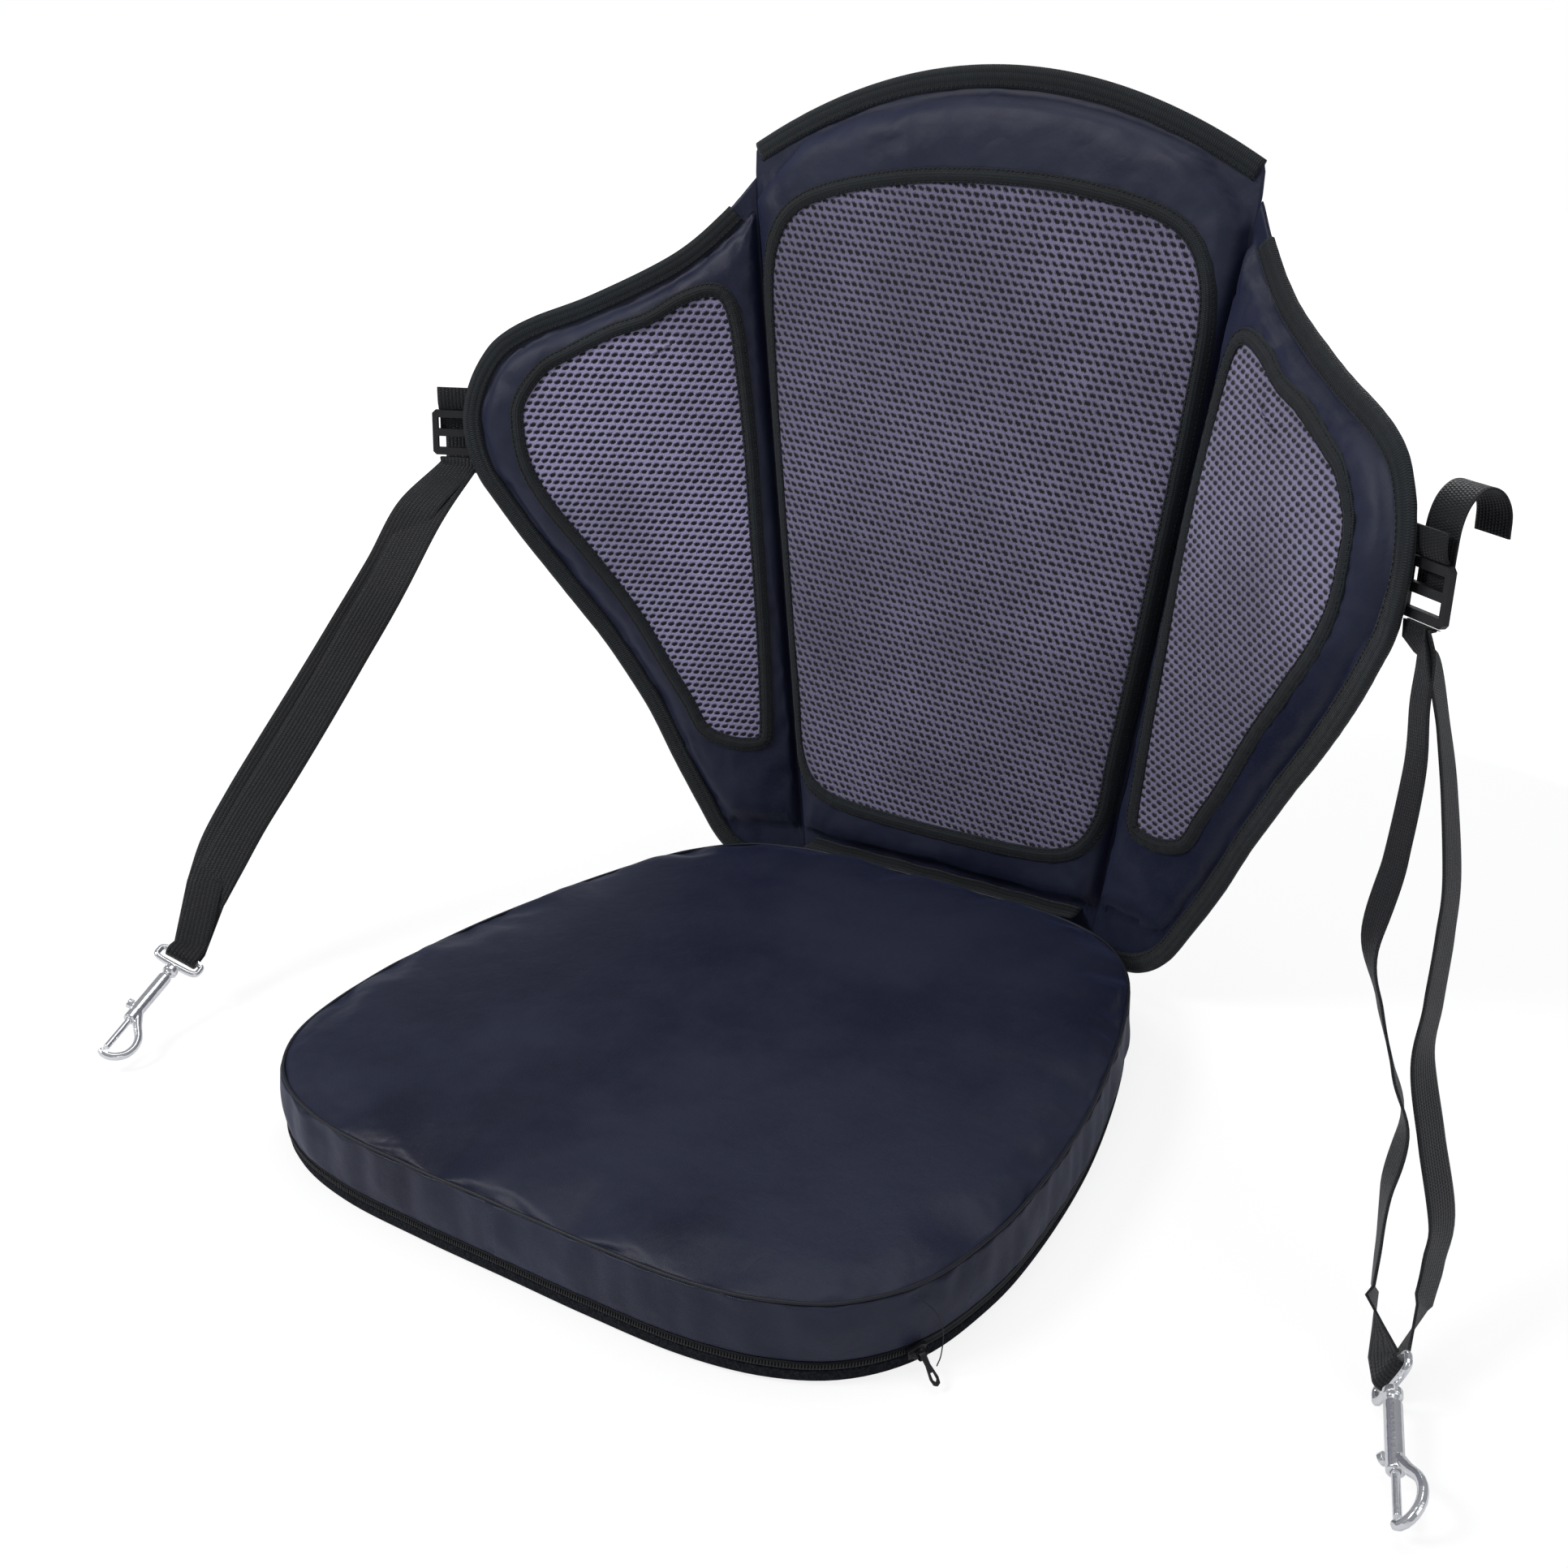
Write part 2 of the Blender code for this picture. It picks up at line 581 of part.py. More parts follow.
def pad_heights(pad_loop, front):
    """Heights of a pad's faces: round shoulders that die out at its sewn edge."""
    def rise(w, s):
        p = np.array([[w, s]])
        if not inside(pad_loop, w, s):
            return 0.0
        d = min(gap_to(pad_loop, p)[0] / PAD_ROUND, 1.0)
        return math.sqrt(max(1 - (1 - d) ** 2, 0.0))

    def outer(w, s):
        return GAP / 2 + SHEET + front * rise(w, s)

    def under(w, s):
        return GAP / 2 + front * rise(w, s)

    def rear_in(w, s):
        return -GAP / 2 - PAD_REAR * rise(w, s)

    def rear_out(w, s):
        return -GAP / 2 - SHEET - PAD_REAR * rise(w, s)
    return outer, under, rear_in, rear_out


def inside(loop, x, y):
    a, b = loop, np.roll(loop, -1, 0)
    cond = (a[:, 1] > y) != (b[:, 1] > y)
    xs = (b[:, 0] - a[:, 0]) * (y - a[:, 1]) / np.where(cond, b[:, 1] - a[:, 1], 1) + a[:, 0]
    return bool((np.sum(cond & (x < xs)) % 2) == 1)


def build_pad(tag, edge, pad, window, centre, front):
    """One third of the back: foam, front cover with its window, mesh, trim and rear cover."""
    c = np.array(centre)
    ang = np.arctan2(edge[:, 1] - c[1], edge[:, 0] - c[0])
    rays = np.stack([np.cos(ang), np.sin(ang)], 1)
    r_pad = cast(pad, c, ang)
    r_win = cast(window, c, ang)
    r_trim_o = cast(inset(window, -TRIM_HALF), c, ang)
    r_trim_i = cast(inset(window, TRIM_HALF), c, ang)
    r_pad1 = np.maximum(r_pad - 0.0045, r_trim_o + 0.0008)
    r_pad = np.maximum(r_pad, r_pad1 + 0.0015)

    def ring(r):
        return c + rays * r[:, None]
    outer, under, rear_in, rear_out = pad_heights(pad, front)
    r0, rp, r1 = edge, ring(r_pad), ring(r_pad1)
    to, wi, ti = ring(r_trim_o), ring(r_win), ring(r_trim_i)
    # the wings are twisted, so their middles need a ring that the flat centre does not
    mid = [] if tag == "centre" else [ring(r_trim_i * 0.5)]
    layer(f"back_front_{tag}", [r0, rp, r1, to, wi], under, outer, "nylon")
    layer(f"back_mesh_{tag}", [ring(r_win - GAP), ti] + mid, under, outer, "mesh", centre)
    layer(f"back_trim_{tag}", [to, wi, ti], lambda w, s: outer(w, s) + GAP,
          lambda w, s: outer(w, s) + GAP + TRIM_THICK, "tape")
    layer(f"back_foam_{tag}", [r1, to, wi, ti] + mid, lambda w, s: rear_in(w, s) + 2 * GAP,
          lambda w, s: under(w, s) - 2 * GAP, "foam", centre)
    layer(f"back_rear_{tag}", [r0, rp, r1, to, wi, ti] + mid, rear_out, rear_in, "nylon",
          centre)


def binding(name, path, nrm, mat="tape"):
    """Tape folded over the sewn edge, swept along a path on the cloth."""
    hi = GAP / 2 + SHEET + 2 * GAP
    ho = hi + BIND_THICK
    prof = [(-BIND_IN, hi), (-BIND_IN, ho), (BIND_OUT, ho - 0.0004), (BIND_OUT, -ho + 0.0004),
            (-BIND_IN, -ho), (-BIND_IN, -hi), (GAP, -hi), (GAP, hi)]
    verts, faces = [], []
    m = len(prof)
    for p, n in zip(path, nrm):
        for o, h in prof:
            q = p + n * o
            verts.append(back_point(q[0], q[1], h))
    for k in range(len(path) - 1):
        a, b = k * m, (k + 1) * m
        for i in range(m):
            j = (i + 1) % m
            faces += [(a + i, a + j, b + j), (a + i, b + j, b + i)]
    e = (len(path) - 1) * m
    for base in (0, e):
        r = [base + i for i in range(m)]
        faces += [(r[0], r[1], r[2], r[7]), (r[7], r[2], r[3], r[6]), (r[6], r[3], r[4], r[5])]
    return mesh_object(name, verts, faces, mat)


def path_normals(path, flip=1.0):
    d = np.gradient(path, axis=0)
    n = np.stack([d[:, 1], -d[:, 0]], 1) * flip
    return n / np.linalg.norm(n, axis=1)[:, None]


def build_back():
    loop = centre_loop((4, 9, 10))
    low, high = PAD_LOW, CENTRE_NOTCH_S - 0.012
    pad_half = [(0, low)] + [(groove_x(s) - CENTRE_PAD_SIDE, s) for s in np.linspace(low, high, 5)]
    pad_half += [(CENTRE_TOP_HALF - PAD_CORNER, arc_s(CENTRE_TOP_HALF) - PAD_CORNER)]
    pad_half += [(x, arc_s(x) - PAD_TOP_IN) for x in np.linspace(0.77 * CENTRE_TOP_HALF, 0, 4)]
    window_half = [(u * groove_x(s), s) for u, s in CENTRE_WINDOW]
    window = smooth(mirror_half(window_half), 72, closed=True)
    build_pad("centre", loop, np.array(mirror_half(pad_half)), window, (0.0, 0.215), PAD_FRONT_CENTRE)
    for tag, side in (("left", 1), ("right", -1)):
        dense = np.array(wing_xy(WING_EDGE, side))
        curve = smooth(dense, WING_STATIONS)
        inner = even(np.array([curve[-1], curve[0]]), 7)[1:-1]
        inner = np.array([(side * (groove_x(s) + SEAM_GAP / 2), s) for _, s in inner])
        edge = np.vstack([curve, inner])
        area = 0.5 * np.sum(edge[:, 0] * np.roll(edge[:, 1], -1) - np.roll(edge[:, 0], -1) * edge[:, 1])
        if area < 0:
            edge = edge[::-1]
        pad = inset(edge, WING_PAD_IN)
        g = np.array([groove_x(s) for s in pad[:, 1]]) + WING_PAD_SIDE
        pad[:, 0] = side * np.maximum(side * pad[:, 0], g)
        near = side * edge[:, 0] < np.array([groove_x(s) for s in edge[:, 1]]) + 0.004
        pad[near, 0] = side * (np.array([groove_x(s) for s in edge[near, 1]]) + WING_PAD_SIDE)
        pad[near, 1] = np.clip(edge[near, 1], WING_PAD_LOW, CENTRE_NOTCH_S - 0.020)
        pad[:, 1] = np.maximum(pad[:, 1], WING_PAD_LOW)
        window = smooth(wing_xy(WING_WINDOW, side), 60, closed=True)
        warea = 0.5 * np.sum(window[:, 0] * np.roll(window[:, 1], -1)
                             - np.roll(window[:, 0], -1) * window[:, 1])
        if warea < 0:
            window = window[::-1]
        mid = (side * (groove_x(0.2) + 0.060), 0.225)
        build_pad(tag, edge, pad, window, mid, PAD_FRONT_WING)
        rim = smooth(dense, WING_STATIONS)
        nrm = path_normals(rim, 1.0 if side > 0 else -1.0)
        if side < 0:
            nrm = -path_normals(rim[::-1], 1.0)[::-1]
        if np.dot(nrm[len(nrm) // 2], [side, 0]) < 0:
            nrm = -nrm
        binding(f"binding_{tag}", rim[1:-1], nrm[1:-1])
    xs = np.linspace(CENTRE_TOP_HALF - 0.0006, -CENTRE_TOP_HALF + 0.0006, 21)
    top = np.array([(x, arc_s(x)) for x in xs])
    binding("binding_top", top, path_normals(top))
    half = groove_x(-BACK_TAIL) - SEAM_GAP
    low = np.array([(x, -BACK_TAIL) for x in np.linspace(-half, half, 8)])
    binding("binding_bottom", low, path_normals(low))


# Snap hooks
HOOKS = {
    # eye's outer end, hook's tip, roll of the hook and of the eye about its axis
    "left": ((0.3632, -0.0570, 0.0168), (0.3891, -0.1356, 0.0085), math.radians(48), math.radians(68)),
    "right": ((-0.3223, -0.1101, 0.0349), (-0.3025, -0.1885, 0.0120), math.radians(-24), math.radians(-28)),
}


def hook_axes(tag):
    """Origin at the eye's outer end and the axes along, across and normal to the hook."""
    eye, tip, roll, eye_roll = HOOKS[tag]
    o = Vector(eye)
    p = (Vector(tip) - o).normalized()
    level = p.cross(Vector((0, 0, 1))).normalized()
    if level.x < 0:
        level = -level
    rise = level.cross(p).normalized()
    if rise.z < 0:
        rise = -rise

    def axes(angle):
        q = level * math.cos(angle) + rise * math.sin(angle)
        return q, p.cross(q).normalized()
    return o, p, axes(roll), axes(eye_roll)


def cylinder(name, radius, start, end, mat, sides=12):
    """Cylinder along local X between two stations."""
    verts, faces = [], []
    for x in (start, end):
        for k in range(sides):
            a = 2 * math.pi * k / sides
            verts.append((x, radius * math.cos(a), radius * math.sin(a)))
    for k in range(sides):
        j = (k + 1) % sides
        faces.append((k, j, sides + j, sides + k))
    faces += [tuple(range(sides)), tuple(range(sides, 2 * sides))]
    return mesh_object(name, verts, faces, mat)


def tube(name, pts, radii, mat, sides=8, closed=False):
    """Round tube through points of the local XY plane."""
    pts = [Vector((x, y, 0)) for x, y in pts]
    n = len(pts)
    verts, faces = [], []
    for i, p in enumerate(pts):
        a = pts[(i - 1) % n] if closed or i else p
        b = pts[(i + 1) % n] if closed or i < n - 1 else p
        t = (b - a).normalized()
        side = Vector((-t.y, t.x, 0))
        for k in range(sides):
            ang = 2 * math.pi * k / sides
            verts.append(p + side * (radii[i] * math.cos(ang)) + Vector((0, 0, radii[i] * math.sin(ang))))
    for i in range(n if closed else n - 1):
        a, b = i * sides, ((i + 1) % n) * sides
        for k in range(sides):
            j = (k + 1) % sides
            faces.append((a + k, a + j, b + j, b + k))
    if not closed:
        faces += [tuple(range(sides)), tuple(range((n - 1) * sides, n * sides))]
    return mesh_object(name, verts, faces, mat)


def build_hook(tag):
    o, p, (q, r), (eq, er) = hook_axes(tag)
    hook_m = frame_matrix(o, p, q, r)
    eye_m = frame_matrix(o, p, eq, er)
    wire = EYE_WIRE / 2
    # eye: a flattened ring whose outer end carries the webbing, with its swivel stem
    a, b = EYE_LENGTH / 2 - wire, EYE_WIDTH / 2 - wire
    ring = []
    for k in range(26):
        t = 2 * math.pi * k / 26
        x = -math.copysign(abs(math.cos(t)) ** 0.45, math.cos(t)) * a + EYE_LENGTH / 2
        y = math.copysign(abs(math.sin(t)) ** 0.50, math.sin(t)) * b
        ring.append((x, y))
    eye = tube(f"hook_eye_{tag}", ring, [wire] * 26, "metal", sides=8, closed=True)
    stem_end = EYE_LENGTH + GAP + STEM_RUN
    stem = cylinder(f"cut_stem_{tag}", STEM_DIA / 2, EYE_LENGTH - wire, stem_end, "metal", 12)
    boolean(eye, stem, "UNION")
    eye.matrix_world = eye_m
    stem.matrix_world = eye_m

    # body: collar, barrel and the curved arm that comes round to meet the bolt
    c0 = EYE_LENGTH + GAP
    c1 = c0 + COLLAR_LENGTH
    rb, rc = BARREL_DIA / 2, COLLAR_DIA / 2
    stations = [(c0, rc - 0.0008), (c0 + 0.0010, rc), (c1 - 0.0012, rc), (c1, rb - 0.0010),
                (c1 + 0.0010, rb - 0.0010), (c1 + 0.0030, rb), (BARREL_END - 0.0006, rb),
                (BARREL_END, rb - 0.0006)]
    sides = 16
    verts, faces = [], []
    for x, rad in stations:
        for k in range(sides):
            t = 2 * math.pi * k / sides
            verts.append((x, rad * math.cos(t), rad * math.sin(t)))
    for i in range(len(stations) - 1):
        for k in range(sides):
            j = (k + 1) % sides
            faces.append((i * sides + k, i * sides + j, (i + 1) * sides + j, (i + 1) * sides + k))
    faces += [tuple(range(sides)), tuple(range((len(stations) - 1) * sides, len(stations) * sides))]
    body = mesh_object(f"hook_body_{tag}", verts, faces, "metal")
    ra = ARM_DIA / 2
    start = BARREL_END - 0.0060
    span = HOOK_LENGTH - ra - start
    arm = smooth([(start, 0.0018), (start + 0.22 * span, 0.48 * ARM_REACH), (start + 0.42 * span, 0.86 * ARM_REACH),
                  (start + 0.62 * span, ARM_REACH), (start + 0.82 * span, 0.90 * ARM_REACH),
                  (start + 0.96 * span, 0.55 * ARM_REACH), (start + span, 0.14 * ARM_REACH),
                  (start + 0.95 * span, -0.12 * ARM_REACH)], 18)
    arm_ob = tube(f"cut_arm_{tag}", arm, [ra * (1.25 - 0.25 * min(i / 6, 1)) for i in range(len(arm))],
                  "metal")
    boolean(body, arm_ob, "UNION")
    bore = BOLT_DIA / 2 + BOLT_CLEAR
    bore_ob = cylinder(f"cut_bore_{tag}", bore, BOLT_BACK - BOLT_TRAVEL - 0.0006, BARREL_END + 0.004, "metal", 12)
    boolean(body, bore_ob, "DIFFERENCE")
    cup = cylinder(f"cut_cup_{tag}", STEM_DIA / 2 + SWIVEL_CLEAR, c0 - 0.001, stem_end + SWIVEL_CLEAR, "metal", 12)
    boolean(body, cup, "DIFFERENCE")
    knob_x = BARREL_END - 0.0100
    slot_w = 0.0026
    slot = box(f"cut_slot_{tag}", (BOLT_TRAVEL + slot_w + 0.0004, rb + 0.004, slot_w),
               (knob_x - BOLT_TRAVEL / 2, -(rb + 0.004) / 2, 0), "metal")
    boolean(body, slot, "DIFFERENCE")
    for ob in (body, arm_ob, bore_ob, cup, slot):
        ob.matrix_world = hook_m

    # bolt: rod from the barrel to the arm's tip, with its thumb knob through the slot
    tip_x = min(x for x, y in arm[-3:]) - ra - GAP
    bolt = cylinder(f"hook_bolt_{tag}", BOLT_DIA / 2, BOLT_BACK, tip_x, "metal", 12)
    post = box(f"cut_postk_{tag}", (0.0020, rb + KNOB_OUT, 0.0020),
               (knob_x, -(rb + KNOB_OUT) / 2, 0), "metal")
    knob = cylinder(f"cut_knob_{tag}", KNOB_DIA / 2, -KNOB_THICK / 2, KNOB_THICK / 2, "metal", 12)
    turn = Matrix.Translation((knob_x, -(rb + KNOB_OUT), 0)) @ Matrix.Rotation(math.pi / 2, 4, "Z")
    boolean(bolt, post, "UNION")
    boolean(bolt, knob, "UNION")
    bolt.matrix_world = hook_m
    post.matrix_world = hook_m
    knob.matrix_world = hook_m @ turn
    return o, p, q


# Straps
# free end of the webbing: rise above the lock's top, distance behind its first part
TAIL_CURL = {
    "left": [(0.004, 0.0), (0.018, 0.0008), (0.028, 0.0045), (0.0335, 0.0115), (0.0315, 0.0195),
             (0.023, 0.0250), (0.011, 0.0262)],
    "right": [(0.002, 0.0), (0.007, 0.0015), (0.009, 0.0060), (0.006, 0.0105), (-0.006, 0.0130),
              (-0.024, 0.0135), (-0.042, 0.0125)],
}
# points of each run between the adjuster and the eye, with the turn of the webbing's face
STRAP_RUNS = {
    "left": [
        [(0.2966, 0.1003, 0.2716), (0.2985, 0.0950, 0.2505), (0.3040, 0.0800, 0.2250),
         (0.3074, 0.0554, 0.1919), (0.3083, 0.0310, 0.1610), (0.3188, 0.0191, 0.1380),
         (0.3300, 0.0100, 0.1160), (0.3405, -0.0005, 0.0964), (0.3420, -0.0180, 0.0725),
         (0.3455, -0.0322, 0.0531), (0.3480, -0.0420, 0.0380)],
        [(0.2992, 0.1012, 0.2716), (0.3101, 0.0964, 0.2402), (0.3200, 0.0830, 0.2150),
         (0.3305, 0.0642, 0.1841), (0.3347, 0.0498, 0.1630), (0.3380, 0.0324, 0.1389),
         (0.3410, 0.0170, 0.1180), (0.3522, 0.0031, 0.0913), (0.3640, -0.0100, 0.0640),
         (0.3665, -0.0230, 0.0490), (0.3675, -0.0360, 0.0350)]],
    "right": [
        [(-0.3108, 0.0995, 0.2528), (-0.3060, 0.0600, 0.2200),
         (-0.3120, 0.0300, 0.1850), (-0.3180, 0.0020, 0.1520), (-0.3240, -0.0240, 0.1220),
         (-0.3290, -0.0480, 0.0960), (-0.3310, -0.0680, 0.0740), (-0.3300, -0.0850, 0.0560)],
        [(-0.3160, 0.0990, 0.2570), (-0.3160, 0.0680, 0.2260),
         (-0.3230, 0.0360, 0.1890), (-0.3280, 0.0050, 0.1560), (-0.3330, -0.0210, 0.1280),
         (-0.3370, -0.0430, 0.1040), (-0.3380, -0.0630, 0.0830), (-0.3350, -0.0800, 0.0650)]],
}
# lower end of the lock that the runs' points were chosen for
STRAP_TOP = {"left": (0.2918, 0.1051, 0.2856), "right": (-0.3152, 0.1397, 0.2837)}
# across direction of the webbing face at the top, the middle and the eye, per run
STRAP_FACE = {
    "left": [[(-0.55, 0.80, 0.0), (-0.45, 0.85, 0.1), (-0.20, 0.90, 0.1)],
             [(-0.20, 0.95, 0.0), (0.05, 0.95, 0.0), (0.10, 0.90, 0.1)]],
    "right": [[(0.80, 0.60, 0.0), (0.84, 0.54, 0.0), (0.84, 0.50, -0.1)],
              [(0.75, 0.65, 0.0), (0.70, 0.68, 0.0), (0.80, 0.50, -0.1)]],
}


def ribbon(name, pts, across, widths, thick, mat):
    """Flat webbing swept through points, with its face turned as given."""
    n = len(pts)
    verts, faces = [], []
    for i in range(n):
        a = Vector(pts[max(i - 1, 0)])
        b = Vector(pts[min(i + 1, n - 1)])
        t = (b - a).normalized()
        w = Vector(across[i])
        w = (w - t * w.dot(t)).normalized()
        h = t.cross(w)
        for sw, sh in ((-1, -1), (1, -1), (1, 1), (-1, 1)):
            verts.append(Vector(pts[i]) + w * (sw * widths[i] / 2) + h * (sh * thick / 2))
    for i in range(n - 1):
        a, b = i * 4, i * 4 + 4
        for k in range(4):
            j = (k + 1) % 4
            faces += [(a + k, a + j, b + j), (a + k, b + j, b + k)]
    e = (n - 1) * 4
    faces += [(0, 1, 2, 3), (e, e + 1, e + 2, e + 3)]
    return mesh_object(name, verts, faces, mat)


def follow(run, shift):
    """Points of a run moved with the lock: fully beside it, not at all at the eye."""
    last = len(run) - 1
    return [tuple(np.array(p) + shift * (1 - i / last)) for i, p in enumerate(run)]


def build_strap(tag, lock):
    """One length of webbing: lock, down to the eye, round its bar and back up."""
    low, across_l, normal_l = lock
    o, p, _, (eq, er) = hook_axes(tag)
    wire = EYE_WIRE / 2
    bar = o + p * wire                      # middle of the eye's outer bar
    turn_r = wire + WEB_SLACK + WEB_THICK / 2
    shift = low - np.array(STRAP_TOP[tag])
    run_a, run_b = (follow(run, shift) for run in STRAP_RUNS[tag])
    step = WEB_THICK / 2 + GAP
    run_a = [tuple(low + normal_l * step - UP_S * d) for d in (5 * GAP, 0.006)] + run_a
    run_b = [tuple(low - normal_l * step - UP_S * d) for d in (5 * GAP, 0.006)] + run_b
    face_a, face_b = STRAP_FACE[tag]
    front = er if er.dot(Vector(run_a[-1]) - bar) > er.dot(Vector(run_b[-1]) - bar) else -er
    bend = [bar + front * (turn_r * math.cos(t)) + p * (turn_r * math.sin(t))
            for t in np.linspace(0, math.pi, 7)]
    pre = [bar + front * turn_r - p * 0.007]
    post = [bar - front * turn_r - p * 0.007]
    pts = list(run_a) + [tuple(v) for v in pre + bend + post] + list(reversed(run_b))
    keys = np.array([tuple(v) for v in pts])
    n_a, n_b, n_m = len(run_a), len(run_b), len(pts) - len(run_a) - len(run_b)
    fall = (Vector(run_a[-1]) - Vector(run_a[-2])).normalized()
    face = Vector(face_a[2])
    face -= fall * face.dot(fall)
    eye_dir = tuple(eq if eq.dot(face) > 0 else -eq)
    across = []
    for i in range(n_a):
        f = i / (n_a - 1)
        pair = (face_a[0], face_a[1], f * 2) if f < 0.5 else (face_a[1], face_a[2], f * 2 - 1)
        across.append(np.array(pair[0]) * (1 - pair[2]) + np.array(pair[1]) * pair[2])
    flat = across_l if across_l.dot(face_a[0]) > 0 else -across_l
    across[0] = across[1] = flat
    across += [np.array(eye_dir)] * n_m
    back = []
    for i in range(n_b):
        f = i / (n_b - 1)
        pair = (face_b[0], face_b[1], f * 2) if f < 0.5 else (face_b[1], face_b[2], f * 2 - 1)
        back.append(np.array(pair[0]) * (1 - pair[2]) + np.array(pair[1]) * pair[2])
    back[0] = back[1] = flat
    across += back[::-1]
    across = np.array(across)
    width = np.full(len(pts), WEB_WIDTH)
    width[n_a:n_a + n_m] = WEB_EYE_WIDTH
    width[n_a - 1] = width[n_a + n_m] = (WEB_WIDTH + WEB_EYE_WIDTH) / 2
    # fine enough that the webbing bends smoothly between its points
    full = np.column_stack([keys, across, width])
    a = full[:n_a]
    b = full[n_a + n_m:]
    mid = full[n_a:n_a + n_m]
    a = np.vstack([a[:1], smooth(a[1:], 19)])
    b = np.vstack([smooth(b[:-1], 19), b[-1:]])
    rows = np.vstack([a, mid, b])
    ribbon(f"strap_{tag}", rows[:, :3], rows[:, 3:6], rows[:, 6], WEB_THICK, "web")


def build_adjuster(tag):
    """Ladder lock at the wing's edge, the patch that holds it and the webbing's free end."""
    side = 1 if tag == "left" else -1
    turn = wing_turn(LOCK_S, side)
    across = np.array([side, 0, 0]) * math.cos(turn) + FRONT * math.sin(turn)
    normal = FRONT * math.cos(turn) - np.array([side, 0, 0]) * math.sin(turn)
    # patch: flat webbing sewn behind the wing's bound edge, reaching to the lock's top bar
    w_edge = groove_x(LOCK_S) + WING_SPAN + LOCK_OUT
    h = -(GAP / 2 + SHEET + 2 * GAP + BIND_THICK + ANCHOR_SEAT + WEB_THICK / 2)
    root = back_point(side * w_edge, LOCK_S, h)
    low_end = root - UP_S * ANCHOR_DROP - normal * LOCK_BACK
    ribbon(f"strap_anchor_{tag}", [tuple(root + UP_S * ANCHOR_RISE), tuple(root - UP_S * 0.002), tuple(low_end)],
           [tuple(across)] * 3, [WEB_WIDTH] * 3, WEB_THICK, "web")
    lock_top = low_end - UP_S * (GAP + 0.0002)
    w, hgt, bar = ADJ_WIDTH / 2, ADJ_HEIGHT, ADJ_BAR
    r = ADJ_CORNER
    outline = [(-w + r, 0), (w - r, 0), (w, r), (w, hgt - r), (w - r, hgt),
               (-w + r, hgt), (-w, hgt - r), (-w, r)]
    slot_h = (hgt - 3 * bar) / 2
    x = w - ADJ_SIDE
    slots = []
    for k in range(2):
        y0 = bar + k * (slot_h + bar)
        slots.append([(-x, y0), (x, y0), (x, y0 + slot_h), (-x, y0 + slot_h)])
    lock = plate(f"strap_lock_{tag}", outline, slots, ADJ_THICK, "plastic")
    lock.matrix_world = frame_matrix(lock_top, across, -UP_S, normal)
    # free end: up behind the lock and the patch, then over backward under its own weight
    behind = ADJ_THICK / 2 + GAP + WEB_THICK / 2 + 0.0004
    mid = lock_top - UP_S * (hgt / 2)
    keys = [(0.0, 0.0)] + [(hgt / 2 + rise, back) for rise, back in TAIL_CURL[tag]]
    path = smooth(np.array([mid + UP_S * u - normal * (behind + n) for u, n in keys]), TAIL_STATIONS)
    ribbon(f"strap_tail_{tag}", path, [across] * TAIL_STATIONS, [WEB_WIDTH] * TAIL_STATIONS, WEB_THICK,
           "web")
    return lock_top - UP_S * hgt, across, normal


zip_end, zip_out, zip_z = build_cushion()
build_slider(zip_end, zip_out, zip_z)
z_in = BASE_RIM_H + ZIP_H / 2
foam_rings = [ring_at(-0.0060, COVER_THICK + GAP), ring_at(-COVER_THICK - 0.0010, COVER_THICK + 0.0045),
              ring_at(-COVER_THICK - 0.0006, SEAT_THICK - COVER_THICK - 0.0032),
              ring_at(-0.0040, SEAT_THICK - COVER_THICK - GAP)]
foam_rings += [scaled(f, seat_top(f) - COVER_THICK - GAP) for f in TOP_RINGS]
stack("seat_foam", foam_rings, "foam", cap_start=(0, 0, COVER_THICK + GAP),
      cap_end=(0, 0, seat_top(0) - COVER_THICK - GAP))
build_back()
strip_z = SEAT_THICK - HINGE_DROP
strip_y0 = HALF_D + band_belly(strip_z) + GAP
strip_y1 = BACK_Y - (SHEET + GAP / 2) - 2 * GAP
box("hinge_cloth", (2 * HINGE_HALF_WIDTH, strip_y1 - strip_y0, HINGE_STRIP),
    (0, (strip_y0 + strip_y1) / 2, strip_z), "nylon")
for tag in ("left", "right"):
    build_hook(tag)
    build_strap(tag, build_adjuster(tag))
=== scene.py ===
"""Looks of a padded kayak seat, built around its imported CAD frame.

Laid out as a Blender add-on: a panel lists one operator per group of pieces, and
main() runs them all. Metres, +Z up, the seat faces -Y, left is the sitter's left (+X).
"""
import math

import bmesh
import bpy
import numpy as np
from mathutils import Matrix, Vector, noise


